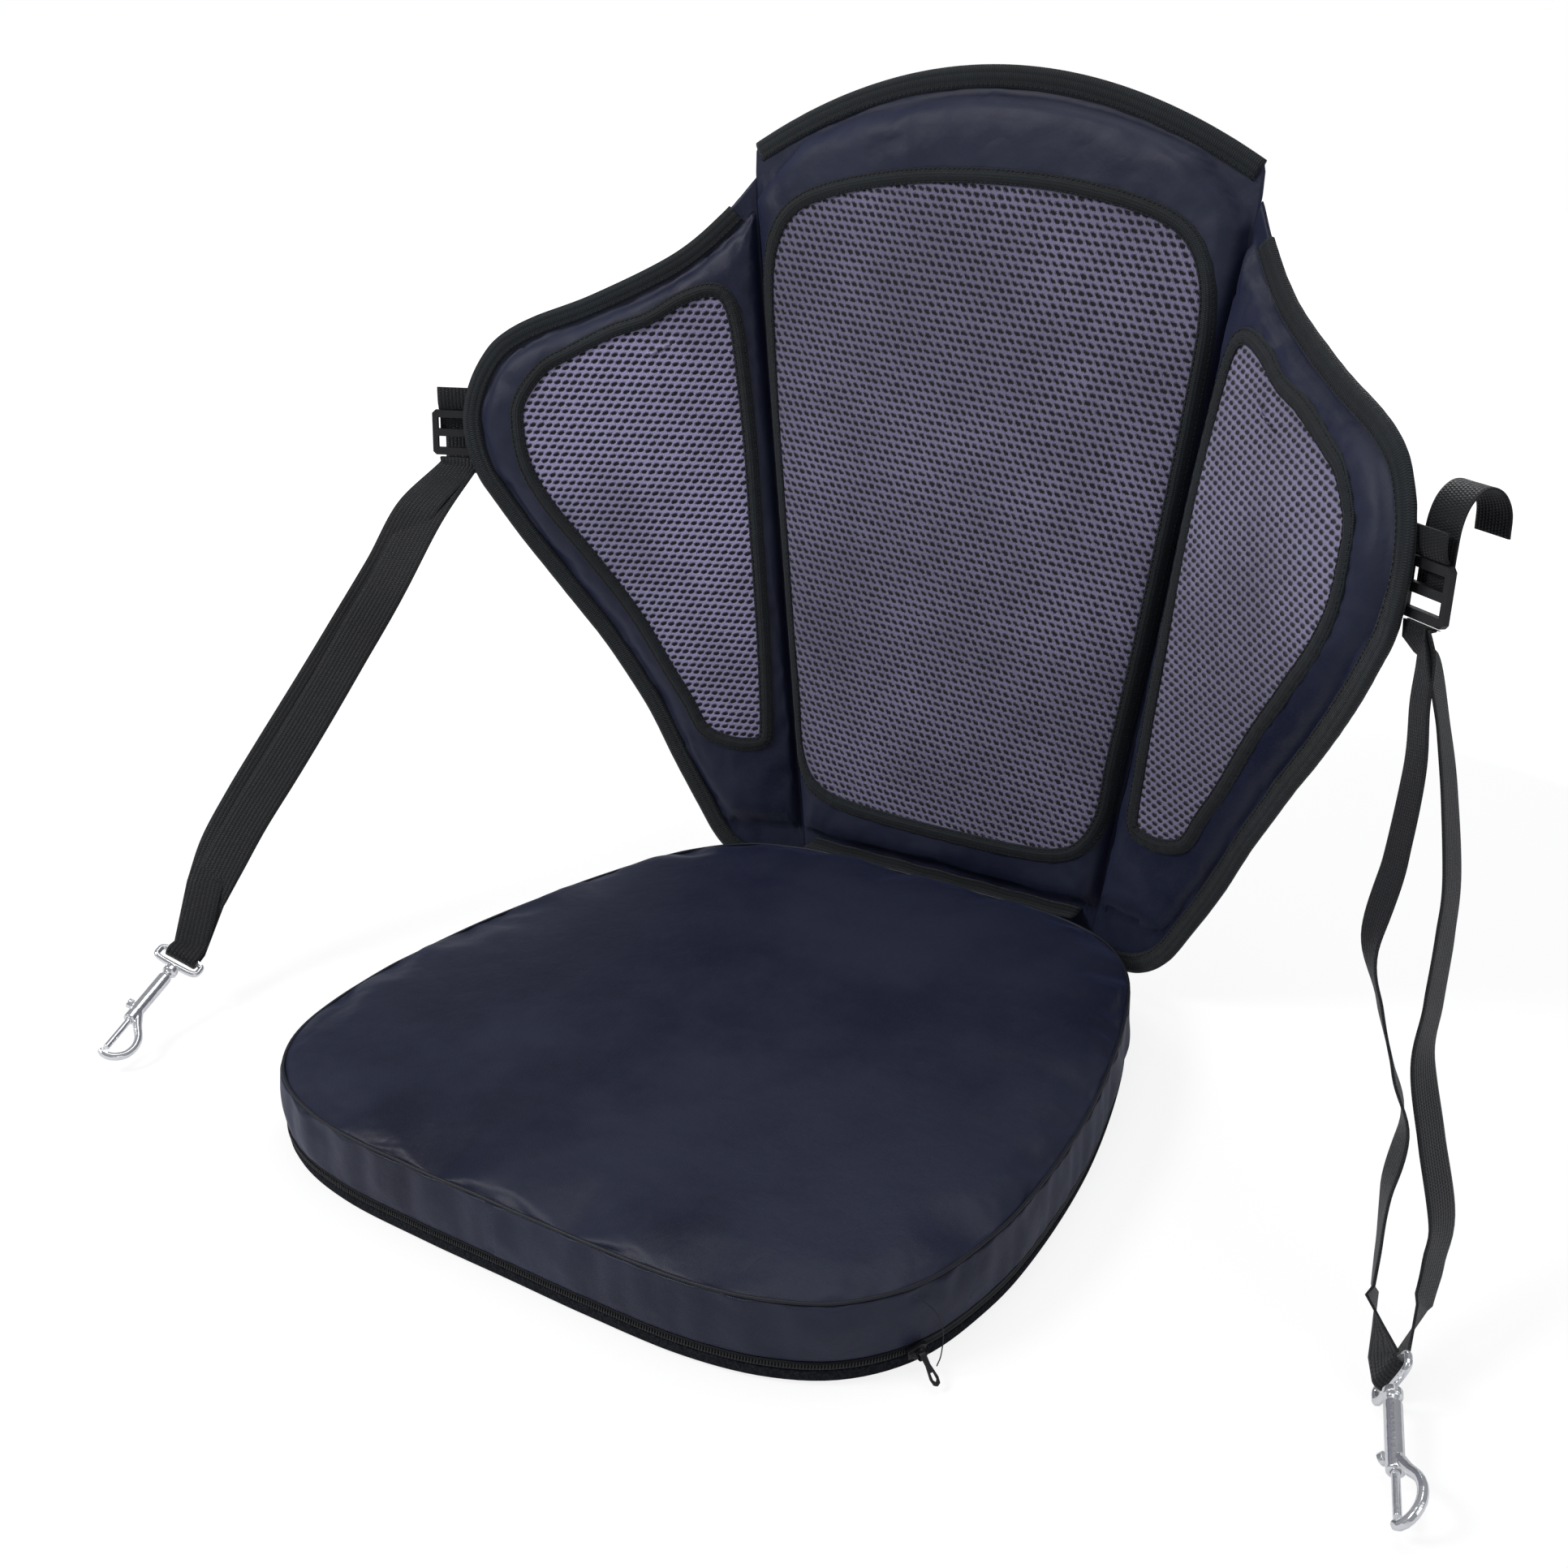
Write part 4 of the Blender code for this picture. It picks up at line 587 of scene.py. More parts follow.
def finish_nylon(name, dark=1.0, rough=0.42, crease=0.0009):
    """Coated nylon: satin, faint weave, small creases, paler patches at random and a painted highlight toward
    the seat's front; dark makes lighter and darker copies of it as painted light and shade.
    """
    mat, tree, shader = new_finish(name)
    place = position(tree)
    weave = place_group(tree, "weave", weave_group, Position=position(tree, "UV"), Pitch=0.0009)
    fold = place_group(tree, "crease", crease_group, Position=place, Scale=26.0)
    fine = place_group(tree, "crease", crease_group, Position=place, Scale=75.0)
    cloth = cloth_settings()
    # dark scales both nylon colours, making lighter and darker copies of one nylon: painted light and shade
    base = tuple(c * dark for c in cloth.nylon)
    pale = tuple(c * dark for c in cloth.nylon_pale)
    colour = mix_colour(tree, fold["Tone"], base, pale)
    speck = ramp(tree, noise_node(tree, place, 900.0, 2.0), 0.35, 0.7)
    colour = mix_colour(tree, math_node(tree, "MULTIPLY", speck, 0.35), colour, pale)
    # painted highlight: toward the seat's front (-Y) the nylon is mixed, up to about a third, with a colour
    # 1.9 times the pale one, in patches set by the slow tone
    toward = ramp(tree, math_node(tree, "MULTIPLY", split(tree, place)[1], -1.0), -0.08, 0.20)
    front_highlight = math_node(tree, "MULTIPLY", math_node(tree, "MULTIPLY", toward, fold["Tone"]), 0.34)
    colour = mix_colour(tree, front_highlight, colour, tuple(c * 1.9 for c in pale))
    tree.links.new(colour, shader.inputs["Base Color"])
    tree.links.new(math_node(tree, "MULTIPLY_ADD", fold["Tone"], 0.12, rough), shader.inputs["Roughness"])
    shader.inputs["Sheen Weight"].default_value = 0.10
    shader.inputs["Sheen Roughness"].default_value = 0.45
    shader.inputs["Sheen Tint"].default_value = (0.40, 0.48, 1.0, 1.0)
    shader.inputs["Specular IOR Level"].default_value = 0.36
    first = bump(tree, shader, fold["Height"], crease)
    second = bump(tree, shader, fine["Height"], 0.00022, first)
    bump(tree, shader, weave["Height"], 0.00005, second)
    return mat


def finish_mesh(name, slant, pale=1.0, opening=1.0, turn=0.0):
    """Spacer mesh: lavender-grey yarn with near-black slots, partly the dark layer behind and partly painted
    shade; pale makes lighter and darker copies per panel as painted light and shade.
    """
    mat, tree, shader = new_finish(name)
    mapping = tree.nodes.new("ShaderNodeMapping")
    mapping.inputs["Rotation"].default_value = (0, 0, turn)
    tree.links.new(position(tree, "UV"), mapping.inputs["Vector"])
    at = mapping.outputs[0]
    pattern = place_group(tree, "holes", hole_group, Position=at, Pitch=fitting_settings().hole_pitch,
                          Slant=slant, Open=opening)
    tone = place_group(tree, "crease", crease_group, Position=position(tree), Scale=20.0)
    # pale sets the yarn's brightness per panel: painted light and shade on one and the same mesh
    yarn = tuple(c * pale for c in cloth_settings().mesh)
    deep = tuple(c * 0.62 for c in yarn)
    colour = mix_colour(tree, tone["Tone"], deep, yarn)
    colour = mix_colour(tree, math_node(tree, "MULTIPLY", pattern["Yarn"], 0.30), colour, deep)
    # the slots are painted near-black: partly the dark layer behind the mesh, partly painted shade inside the
    # holes
    colour = mix_colour(tree, pattern["Hole"], colour, (0.004, 0.004, 0.011))
    tree.links.new(colour, shader.inputs["Base Color"])
    shader.inputs["Roughness"].default_value = 0.72
    shader.inputs["Sheen Weight"].default_value = 0.25
    shader.inputs["Sheen Roughness"].default_value = 0.5
    shader.inputs["Specular IOR Level"].default_value = 0.3
    first = bump(tree, shader, pattern["Height"], 0.0012)
    bump(tree, shader, pattern["Yarn"], 0.00012, first)
    return mat


def finish_ribbed(name, colour, rib, cord, depth, rough=0.62, lift=1.9):
    """Ribbed tape or webbing, from the piece's own length and width, with painted shade in the valleys
    between the ribs.
    """
    mat, tree, shader = new_finish(name)
    ribs = place_group(tree, "ribs", rib_group, Position=position(tree, "UV"), Rib=rib, Cord=cord)
    tone = place_group(tree, "crease", crease_group, Position=position(tree), Scale=30.0)
    base = tuple(colour)
    pale = tuple(c * lift for c in base)
    shade = mix_colour(tree, tone["Tone"], base, pale)
    # painted shade: the valleys between the ribs are darkened toward 0.35 of the tape's colour
    shade = mix_colour(tree, math_node(tree, "MULTIPLY", ribs["Valley"], 0.7), shade,
                       tuple(c * 0.35 for c in base))
    tree.links.new(shade, shader.inputs["Base Color"])
    shader.inputs["Roughness"].default_value = rough
    shader.inputs["Sheen Weight"].default_value = 0.12
    shader.inputs["Specular IOR Level"].default_value = 0.35
    fuzz = noise_node(tree, position(tree), 1400.0, 2.0)
    first = bump(tree, shader, ribs["Height"], depth)
    bump(tree, shader, fuzz, 0.00012, first)
    return mat


def finish_rough_base(name):
    """Non-slip underside cloth: coarse, matt and pebbled."""
    mat, tree, shader = new_finish(name)
    place = position(tree)
    cells = tree.nodes.new("ShaderNodeTexVoronoi")
    cells.inputs["Scale"].default_value = 620.0
    tree.links.new(place, cells.inputs["Vector"])
    grain = noise_node(tree, place, 1500.0, 3.0)
    colour = mix_colour(tree, ramp(tree, cells.outputs["Distance"], 0.1, 0.8),
                        (0.019, 0.021, 0.029), (0.006, 0.007, 0.010))
    tree.links.new(colour, shader.inputs["Base Color"])
    shader.inputs["Roughness"].default_value = 0.9
    shader.inputs["Specular IOR Level"].default_value = 0.2
    first = bump(tree, shader, cells.outputs["Distance"], 0.0006)
    bump(tree, shader, grain, 0.0003, first)
    return mat


def finish_plated(name):
    """Bright plated die casting with a faint cast skin, rubbed spots and a faint painted glow."""
    mat, tree, shader = new_finish(name)
    place = position(tree)
    smear = noise_node(tree, place, 160.0, 4.0)
    skin = noise_node(tree, place, 420.0, 2.0)
    base = tuple(fitting_settings().metal)
    # painted light: a faint white glow (emission 0.03), though the metal is no lamp
    shader.inputs["Emission Color"].default_value = (1.0, 1.0, 1.0, 1.0)
    shader.inputs["Emission Strength"].default_value = 0.03
    colour = mix_colour(tree, ramp(tree, smear, 0.45, 0.8), base, tuple(c * 0.82 for c in base))
    tree.links.new(colour, shader.inputs["Base Color"])
    tree.links.new(math_node(tree, "MULTIPLY_ADD", smear, 0.16, 0.09), shader.inputs["Roughness"])
    shader.inputs["Metallic"].default_value = 0.88
    bump(tree, shader, skin, 0.00012)
    return mat


def finish_plastic(name):
    """Moulded black plastic with a fine spark texture."""
    mat, tree, shader = new_finish(name)
    place = position(tree)
    grain = noise_node(tree, place, 2200.0, 2.0)
    slow = noise_node(tree, place, 60.0, 3.0)
    tree.links.new(mix_colour(tree, slow, (0.010, 0.010, 0.012), (0.018, 0.018, 0.021)),
                   shader.inputs["Base Color"])
    tree.links.new(math_node(tree, "MULTIPLY_ADD", slow, 0.2, 0.30), shader.inputs["Roughness"])
    bump(tree, shader, grain, 0.00008)
    return mat


def finish_thread(name, colour):
    """Twisted sewing thread."""
    mat, tree, shader = new_finish(name)
    place = position(tree)
    twist = noise_node(tree, place, 2600.0, 1.0)
    tree.links.new(mix_colour(tree, twist, tuple(colour), tuple(c * 2.2 for c in colour)),
                   shader.inputs["Base Color"])
    shader.inputs["Roughness"].default_value = 0.55
    bump(tree, shader, twist, 0.0001)
    return mat


FINISHES = {}


def finish(name):
    """Each finish is made once, when a piece first asks for it."""
    if name not in FINISHES:
        cloth = cloth_settings()
        makers = {
            "nylon": lambda: finish_nylon("seat nylon"),
            # painted light and shade: the back's front covers use the same nylon drawn 1.4 times brighter,
            # its rear covers 0.9 times as bright
            "nylon_back": lambda: finish_nylon("back nylon", dark=1.40, rough=0.47),
            "nylon_rear": lambda: finish_nylon("rear nylon", dark=0.9, rough=0.45),
            # painted light and shade: one spacer mesh drawn at 0.58 of its colour in the centre, 0.80 on the
            # left wing and in full on the right wing
            "mesh_centre": lambda: finish_mesh("centre mesh", -0.36, 0.58, 0.85, 0.06),
            "mesh_left": lambda: finish_mesh("left wing mesh", 0.30, 0.80, 0.95, 0.35),
            "mesh_right": lambda: finish_mesh("right wing mesh", 0.30, 1.0, 0.95),
            "trim": lambda: finish_ribbed("trim tape", cloth.tape, 0.0011, 0.0017, 0.00035, 0.6),
            "binding": lambda: finish_ribbed("binding tape", [c * 1.15 for c in cloth.tape],
                                             0.0013, 0.0040, 0.00060, 0.6),
            "web": lambda: finish_ribbed("webbing", cloth.web, 0.0014, 0.0023, 0.00038, 0.50),
            "zip_tape": lambda: finish_ribbed("zip tape", cloth.web, 0.0007, 0.0009, 0.00012, 0.7),
            "base": lambda: finish_rough_base("non-slip base"),
            "metal": lambda: finish_plated("plated metal"),
            "plastic": lambda: finish_plastic("moulded plastic"),
            "black_metal": lambda: finish_plastic("black coated metal"),
            "thread": lambda: finish_thread("dark thread", (0.006, 0.007, 0.012)),
            "coil": lambda: finish_plastic("zip coil"),
        }
        FINISHES[name] = makers[name]()
    return FINISHES[name]


# Cushion
def seat_outline(count):
    half = [(a * SEAT_WIDTH / 2, b * SEAT_DEPTH / 2) for a, b in SEAT_SHAPE]
    ring = half + [(0, SEAT_DEPTH / 2)] + [(-x, y) for x, y in reversed(half[1:])]
    return smooth(ring, count, closed=True)


def seat_top(f):
    return SEAT_THICK + SEAT_CROWN * (1 - f ** 2.6)


def band_belly(z):
    low, high = ZIP_HIGH + GAP, SEAT_THICK - SHEET - GAP
    return SIDE_BULGE * math.sin(math.pi * (0.12 + 0.80 * min(max((z - low) / (high - low), 0), 1)))


def cushion_swell(flat):
    """Slow unevenness of the stuffed top at plane points."""
    return 0.0012 * np.array([noise.noise(Vector((x * 9, y * 9, 8.0))) for x, y in flat])


def build_cushion():
    """Top panel and side band in one cover, seamed at the top edge and closed below."""
    count = 260
    loop = seat_outline(count)
    out = loop_normals(loop)
    run = np.concatenate([[0], np.cumsum(np.linalg.norm(np.diff(loop, axis=0), axis=1))])
    shares = [0.56, 0.61, 0.66, 0.70, 0.74, 0.78, 0.815, 0.85, 0.88, 0.905, 0.926, 0.944, 0.958, 0.970,
              0.980, 0.989, 0.996]
    rows, held, uv = [], [], []
    pull = np.array([noise.noise(Vector((x * 26, y * 26, 3.1))) for x, y in loop])
    for f in shares:
        flat = loop * f
        near = math.exp(-(1 - f) * 0.2 / 0.022)
        z = seat_top(f) + 0.0022 * pull * near * (1 - near) * 4 - 0.0026 * max(0, (f - 0.962) / 0.038) ** 2
        z = z + cushion_swell(flat) * (1 - f ** 6)
        rows.append(np.column_stack([flat, z]))
        held.append(np.zeros(count))
        uv.append(flat)
    seam = loop - out * 0.0012
    rows.append(np.column_stack([seam, np.full(count, SEAT_THICK - 0.0030)]))
    held.append(np.ones(count))
    uv.append(loop)
    heights = [0.0415, 0.0408, 0.0395, 0.037, 0.034, 0.0305, 0.027, 0.0235, 0.020, 0.017, 0.0145, 0.0128]
    fold = np.array([noise.noise(Vector((s * 42, 5.5, 0))) + 0.6 * noise.noise(Vector((s * 95, 1.5, 0)))
                     for s in run])
    for z in heights:
        share = (0.0420 - z) / (0.0420 - 0.0128)
        swell = band_belly(z) - 0.0004
        amount = 0.0016 * fold * math.sin(math.pi * min(max(share, 0), 1)) ** 0.7
        ring = loop + out * (swell + amount)[:, None]
        rows.append(np.column_stack([ring, np.full(count, z)]))
        held.append(np.zeros(count))
        uv.append(np.column_stack([run, np.full(count, z)]))
    held[-1][:] = 1.0
    held[-2][:] = 0.6
    n_open = len(rows)
    for z in (ZIP_HIGH - 0.0002, ZIP_HIGH - 0.0002):
        scale = 1.0 if n_open == len(rows) else 0.5
        ring = (loop - out * 0.0016) * scale
        rows.append(np.column_stack([ring, np.full(count, z)]))
        held.append(np.ones(count))
        uv.append(ring)
    faces = grid(len(rows), count, flip=True)
    total = len(rows) * count
    crown, more = fill_ring(rows[0][:, :2], 0, total)
    faces += more
    share = np.linalg.norm(crown, axis=1) / cast(loop, np.zeros(2), np.arctan2(crown[:, 1], crown[:, 0]))
    z = seat_top(share) + cushion_swell(crown)
    below, more = fill_ring(rows[-1], (len(rows) - 1) * count, total + len(crown), flip=True)
    faces += more
    verts = np.vstack(rows + [np.column_stack([crown, z]), below])
    uv = np.vstack(uv + [crown, below[:, :2]])
    held = np.concatenate(held + [np.zeros(len(crown)), np.ones(len(below))])
    ob = make_mesh("cushion_cover", verts, faces, finish("nylon"), uv)
    outward(ob)
    settle(ob, held, 1.5, 0.012, 0.0028)
    sub = ob.modifiers.new("smooth", "SUBSURF")
    sub.levels = sub.render_levels = 1
    bake(ob)
    return ob


def build_seam_line():
    """The dark turned-in seam between the top panel and the side band."""
    count, cols = 260, 8
    loop = seat_outline(count)
    out = loop_normals(loop)
    wave = np.array([noise.noise(Vector((x * 40, y * 40, 6.0))) for x, y in loop])
    rows = []
    for j in range(cols):
        a = 2 * math.pi * j / cols
        rows.append(np.column_stack([
            loop + out * (SEAM_LINE_OUT + SEAM_LINE_RADIUS * math.cos(a)),
            SEAT_THICK - SEAM_LINE_DROP + 0.0004 * wave + SEAM_LINE_RADIUS * math.sin(a)]))
    ob = make_mesh("seam_line", np.vstack(rows + [rows[0]]), grid(cols + 1, count), finish("thread"))
    bm = bmesh.new()
    bm.from_mesh(ob.data)
    bmesh.ops.remove_doubles(bm, verts=bm.verts, dist=1e-7)
    bm.to_mesh(ob.data)
    bm.free()
    return outward(ob)


def build_base_panel():
    """Rough non-slip panel with its rim turned up round the cushion."""
    count = 240
    loop = seat_outline(count)
    out = loop_normals(loop)
    wave = np.array([noise.noise(Vector((x * 30, y * 30, 9.3))) for x, y in loop])
    rows = []
    for off, z, wavy in ((-0.12, 0.0, 0), (-0.03, 0.0, 0), (-0.0045, 0.0, 0), (-0.0022, 0.0006, 0),
                         (-0.0006, 0.0019, 0.3), (0.0002, 0.0040, 0.6), (0.0005, 0.0062, 1),
                         (0.0004, RIM_TOP - 0.0004, 1), (-0.0001, RIM_TOP, 1), (-0.0008, RIM_TOP - 0.0003, 1),
                         (-0.0012, 0.0060, 0.5), (-0.0024, 0.0024, 0), (-0.0050, SHEET, 0),
                         (-0.12, SHEET, 0)):
        ring = loop + out * (off + 0.00025 * wave * wavy)[:, None]
        rows.append(np.column_stack([ring, z + 0.00030 * wave * wavy * (z > 0.005)]))
    verts = np.vstack(rows + [[(0, 0, 0)], [(0, 0, SHEET)]])
    faces = grid(len(rows), count)
    last = (len(rows) - 1) * count
    for i in range(count):
        j = (i + 1) % count
        faces.append((j, i, len(verts) - 2))
        faces.append((last + i, last + j, len(verts) - 1))
    ob = make_mesh("base_panel", verts, faces, finish("base"))
    return outward(ob)


def build_hinge_cloth():
    """Short strip of cloth that hinges the back to the cushion."""
    low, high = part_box("hinge_cloth")
    nx, ny = 60, 8
    rows, uv = [], []
    for k in range(ny):
        t = k / (ny - 1)
        y = low.y + (high.y - low.y) * t
        x = np.linspace(low.x, high.x, nx)
        sag = -0.0010 * math.sin(math.pi * t) + 0.0003 * np.sin(x * 210 + 2 * t)
        rows.append(np.column_stack([x, np.full(nx, y), (low.z + high.z) / 2 + 0.0004 + sag]))
        uv.append(np.column_stack([x, np.full(nx, y)]))
    ob = make_mesh("hinge_strip", np.vstack(rows), grid(ny, nx, round_cols=False), finish("binding"),
                   np.vstack(uv))
    thicken(ob, 0.0009, 0.0)
    return outward(ob)


# Back
def groove_x(s):
    return BOTTOM_HALF + (TOP_HALF - BOTTOM_HALF) * (s + 0.011) / (NOTCH_S + 0.011)


def wing_turn(s, side):
    """Forward fold of the wing on one side (1 left, -1 right) at height s."""
    high = np.where(np.asarray(side) > 0, LEFT_FOLD[0], RIGHT_FOLD[0])
    reach = np.where(np.asarray(side) > 0, LEFT_FOLD[1], RIGHT_FOLD[1])
    f = np.clip((s - 0.02) / reach, 0.0, 1.0)
    return TURN_LOW + (high - TURN_LOW) * f * f * (3 - 2 * f)


def back_points(w, s, h):
    """Points of the back: w across the cloth from the middle, s up it, h towards the front."""
    w, s, h = (np.asarray(v, float) for v in np.broadcast_arrays(w, s, h))
    g = groove_x(s)
    side = np.where(w >= 0, 1.0, -1.0)
    u = np.maximum(np.abs(w) - g, 0.0)
    ang = np.where(np.abs(w) > g, wing_turn(s, side), 0.0)
    x_dir = np.array([1.0, 0.0, 0.0])
    x = np.where(np.abs(w) > g, side * (g + u * np.cos(ang)), w)
    normal = FRONT * np.cos(ang)[..., None] - x_dir * (side * np.sin(ang))[..., None]
    return (BACK_ORIGIN + s[..., None] * UP_S + x[..., None] * x_dir
            + FRONT * (u * np.sin(ang))[..., None] + normal * h[..., None])


def arc_s(x):
    return ARC_TOP_S - (ARC_TOP_S - ARC_END_S) / TOP_HALF ** 2 * x * x


def panel_shapes(tag):
    """Edge, pad and window loops of one panel in cloth coordinates, with its middle."""
    g = SEAM_GAP / 2
    if tag == "centre":
        reach = groove_x(-BACK_TAIL) - g
        bottom = [(x, -BACK_TAIL) for x in np.linspace(-reach, reach, 30)]
        right = [(groove_x(s) - g, s) for s in np.linspace(-BACK_TAIL, NOTCH_S, 60)]
        top = [(x, arc_s(x)) for x in np.linspace(TOP_HALF - g, -TOP_HALF + g, 60)]
        edge = np.array(bottom[:-1] + right + top + [(-x, s) for x, s in reversed(right)][:-1])
        half = [(0, 0.002)] + [(groove_x(s) - 0.0022, s) for s in np.linspace(0.002, NOTCH_S - 0.012, 5)]
        half += [(TOP_HALF - 0.016, arc_s(TOP_HALF) - 0.016)]
        half += [(x, arc_s(x) - 0.0145) for x in np.linspace(0.77 * TOP_HALF, 0, 4)]
        pad = np.array(half + [(-x, s) for x, s in reversed(half) if x > 1e-9])
        table = [(u * groove_x(s), s) for u, s in CENTRE_WINDOW]
        table += [(-x, s) for x, s in reversed(table) if x > 1e-9]
        return edge, pad, smooth(table, 240, closed=True), np.array([0.0, 0.215])
    side = 1 if tag == "left" else -1
    rim = wing_rim(tag, 150)
    inner = even(np.array([rim[-1], rim[0]]), 50)[1:-1]
    inner = np.array([(side * (groove_x(s) + g), s) for _, s in inner])
    edge = anticlockwise(np.vstack([rim, inner]))
    pad = inset(edge, 0.0135)
    groove = groove_x(pad[:, 1]) + 0.0030
    pad[:, 0] = side * np.maximum(side * pad[:, 0], groove)
    near = side * edge[:, 0] < groove_x(edge[:, 1]) + 0.004
    pad[near, 0] = side * (groove_x(edge[near, 1]) + 0.0030)
    pad[near, 1] = np.clip(edge[near, 1], 0.004, NOTCH_S - 0.020)
    pad[:, 1] = np.maximum(pad[:, 1], 0.004)
    table = [(side * (groove_x(s) + g + u * WING_SPAN), s) for u, s in WING_WINDOW]
    window = anticlockwise(smooth(table, 240, closed=True))
    return edge, pad, window, np.array([side * (groove_x(0.2) + 0.060), 0.225])


def wing_rim(tag, count):
    side = 1 if tag == "left" else -1
    return smooth([(side * (groove_x(s) + SEAM_GAP / 2 + u * WING_SPAN), s) for u, s in WING_EDGE], count)


def pad_rise(pad, pts):
    """Share of the pad's full height at each point: round shoulders, flat middle."""
    d = np.clip(edge_distance(pad, pts) / PAD_ROUND, 0, 1)
    return np.sqrt(np.maximum(1 - (1 - d) ** 2, 0))


class PanelRings:
    """Rays from a panel's middle to its edge, pad, trim and window."""

    def __init__(self, tag, count=260):
        self.tag, self.count = tag, count
        edge, self.pad, window, self.mid = panel_shapes(tag)
        ring = even(np.vstack([edge, edge[:1]]), count, closed=True)
        self.ang = np.arctan2(ring[:, 1] - self.mid[1], ring[:, 0] - self.mid[0])
        self.rays = np.stack([np.cos(self.ang), np.sin(self.ang)], 1)
        self.edge = cast(edge, self.mid, self.ang)
        self.window = cast(window, self.mid, self.ang)
        self.trim_out = cast(inset(window, -TRIM_HALF), self.mid, self.ang)
        self.trim_in = cast(inset(window, TRIM_HALF), self.mid, self.ang)
        self.front = PAD_FRONT[tag]

    def ring(self, radius):
        return self.mid + self.rays * np.asarray(radius)[:, None]

    def front_height(self, pts):
        return GAP / 2 + SHEET + self.front * pad_rise(self.pad, pts)

    def rear_height(self, pts):
        return -GAP / 2 - SHEET - PAD_REAR * pad_rise(self.pad, pts)


def build_front_cover(p):
    """Front cover of one panel, from its sewn edge over the pad's shoulder to the trim."""
    steps = np.concatenate([np.linspace(0, 0.9, 15), [0.95, 1.0]])
    crease = cloth_settings().crease
    rows, uv, held = [], [], []
    for t in steps:
        pts = p.ring(p.edge + (p.window - 0.001 - p.edge) * t)
        h = p.front_height(pts)
        spread = math.sin(math.pi * t) ** 0.8
        lift = wave_noise(np.column_stack([pts, np.zeros(p.count)]), 38, 4.0 + len(p.tag))
        lift += 0.5 * wave_noise(np.column_stack([pts, np.zeros(p.count)]), 90, 9.0)
        h = h + crease * lift * spread - 0.0002
        rows.append(back_points(pts[:, 0], pts[:, 1], h))
        uv.append(pts)
        far = np.linalg.norm(pts - p.ring(p.edge), axis=1)
        held.append(np.where((far < BIND_IN + 0.003) | (t > 0.94), 1.0, 0.0))
    ob = make_mesh(f"front_cover_{p.tag}", np.vstack(rows), grid(len(steps), p.count, flip=False),
                   finish("nylon_back"), np.vstack(uv))
    settle(ob, np.concatenate(held), 1.2, 0.005, 0.0010)
    thicken(ob, 0.0008)
    return outward(ob)


def build_mesh_panel(p):
    """Spacer mesh that fills the window."""
    shares = [1.02, 0.985, 0.95, 0.915, 0.88, 0.84, 0.80]
    rows, uv = [], []
    for f in shares:
        pts = p.ring(p.window * f)
        sag = 0.0010 * wave_noise(np.column_stack([pts, np.zeros(p.count)]), 16, 2.0)
        near = math.exp(-(1.02 - f) / 0.035)
        h = p.front_height(pts) - 0.0001 - 0.0010 * near + sag * (1 - near)
        rows.append(back_points(pts[:, 0], pts[:, 1], h))
        uv.append(pts)
    inner, more = fill_ring(uv[-1], (len(shares) - 1) * p.count, len(shares) * p.count)
    sag = 0.0010 * wave_noise(np.column_stack([inner, np.zeros(len(inner))]), 16, 2.0)
    verts = np.vstack(rows + [back_points(inner[:, 0], inner[:, 1], p.front_height(inner) - 0.0001 + sag)])
    faces = grid(len(shares), p.count) + more
    ob = make_mesh(f"mesh_{p.tag}", verts, faces, finish(f"mesh_{p.tag}"), np.vstack(uv + [inner]))
    thicken(ob, 0.0012)
    return outward(ob)


def tape_along(name, centre, across, width, height, frame_fn, material, profile, closed=True):
    """Tape swept along a path in cloth coordinates, with a cross-section profile of (share, lift)."""
    n = len(centre)
    step = np.linalg.norm(np.diff(np.vstack([centre, centre[:1]]), axis=0), axis=1)
    run = np.concatenate([[0], np.cumsum(step)[:-1]])
    rows, uv = [], []
    for share, lift in profile:
        pts = centre + across * (share * width)
        rows.append(frame_fn(pts, height(pts) + lift))
        uv.append(np.column_stack([run, np.full(n, share * width)]))
    stack = np.stack(rows)
    verts = stack.reshape(-1, 3)
    faces = grid(len(profile), n, round_cols=closed)
    ob = make_mesh(name, verts, faces, finish(material), np.vstack(uv))
    return ob


def build_trim(p):
    """Ribbed tape over the raw edge of the window, with its edges sewn down."""
    pts = p.ring(p.window)
    across = loop_normals(pts)
    pucker = 0.00018 * np.sin(np.arange(p.count) * 1.9) + 0.0002 * wave_noise(
        np.column_stack([pts, np.zeros(p.count)]), 120, 6.0)

    def place(at, h):
        return back_points(at[:, 0], at[:, 1], h + pucker)
    profile = [(-0.50, -0.0006), (-0.50, 0.0006), (-0.44, 0.0010), (-0.34, 0.0009), (-0.27, 0.0014),
               (-0.12, 0.0018), (0.0, 0.0019), (0.12, 0.0018), (0.27, 0.0014), (0.34, 0.0009),
               (0.44, 0.0010), (0.50, 0.0006), (0.50, -0.0006)]
    ob = tape_along(f"window_trim_{p.tag}", pts, across, 2 * TRIM_HALF, p.front_height, place,
                    "trim", profile)
    return outward(close_rows(ob, len(profile), p.count, True))


def close_rows(ob, rows, cols, round_cols):
    """Adds the faces that join the last row to the first, and the ends of an open tape."""
    bm = bmesh.new()
    bm.from_mesh(ob.data)
    bm.verts.ensure_lookup_table()
    layer = bm.loops.layers.uv.active
    known = {}
    for face in bm.faces:
        for corner in face.loops:
            known[corner.vert.index] = corner[layer].uv.copy()
    a, b = (rows - 1) * cols, 0
    new = []
    for i in range(cols if round_cols else cols - 1):
        j = (i + 1) % cols
        new.append(bm.faces.new([bm.verts[k] for k in (a + i, a + j, b + j, b + i)]))
    if not round_cols:
        new.append(bm.faces.new([bm.verts[k * cols] for k in range(rows)]))
        new.append(bm.faces.new([bm.verts[k * cols + cols - 1] for k in reversed(range(rows))]))
    for face in new:
        face.smooth = True
        face.material_index = 0
        for corner in face.loops:
            corner[layer].uv = known[corner.vert.index]
    bm.to_mesh(ob.data)
    bm.free()
    return ob


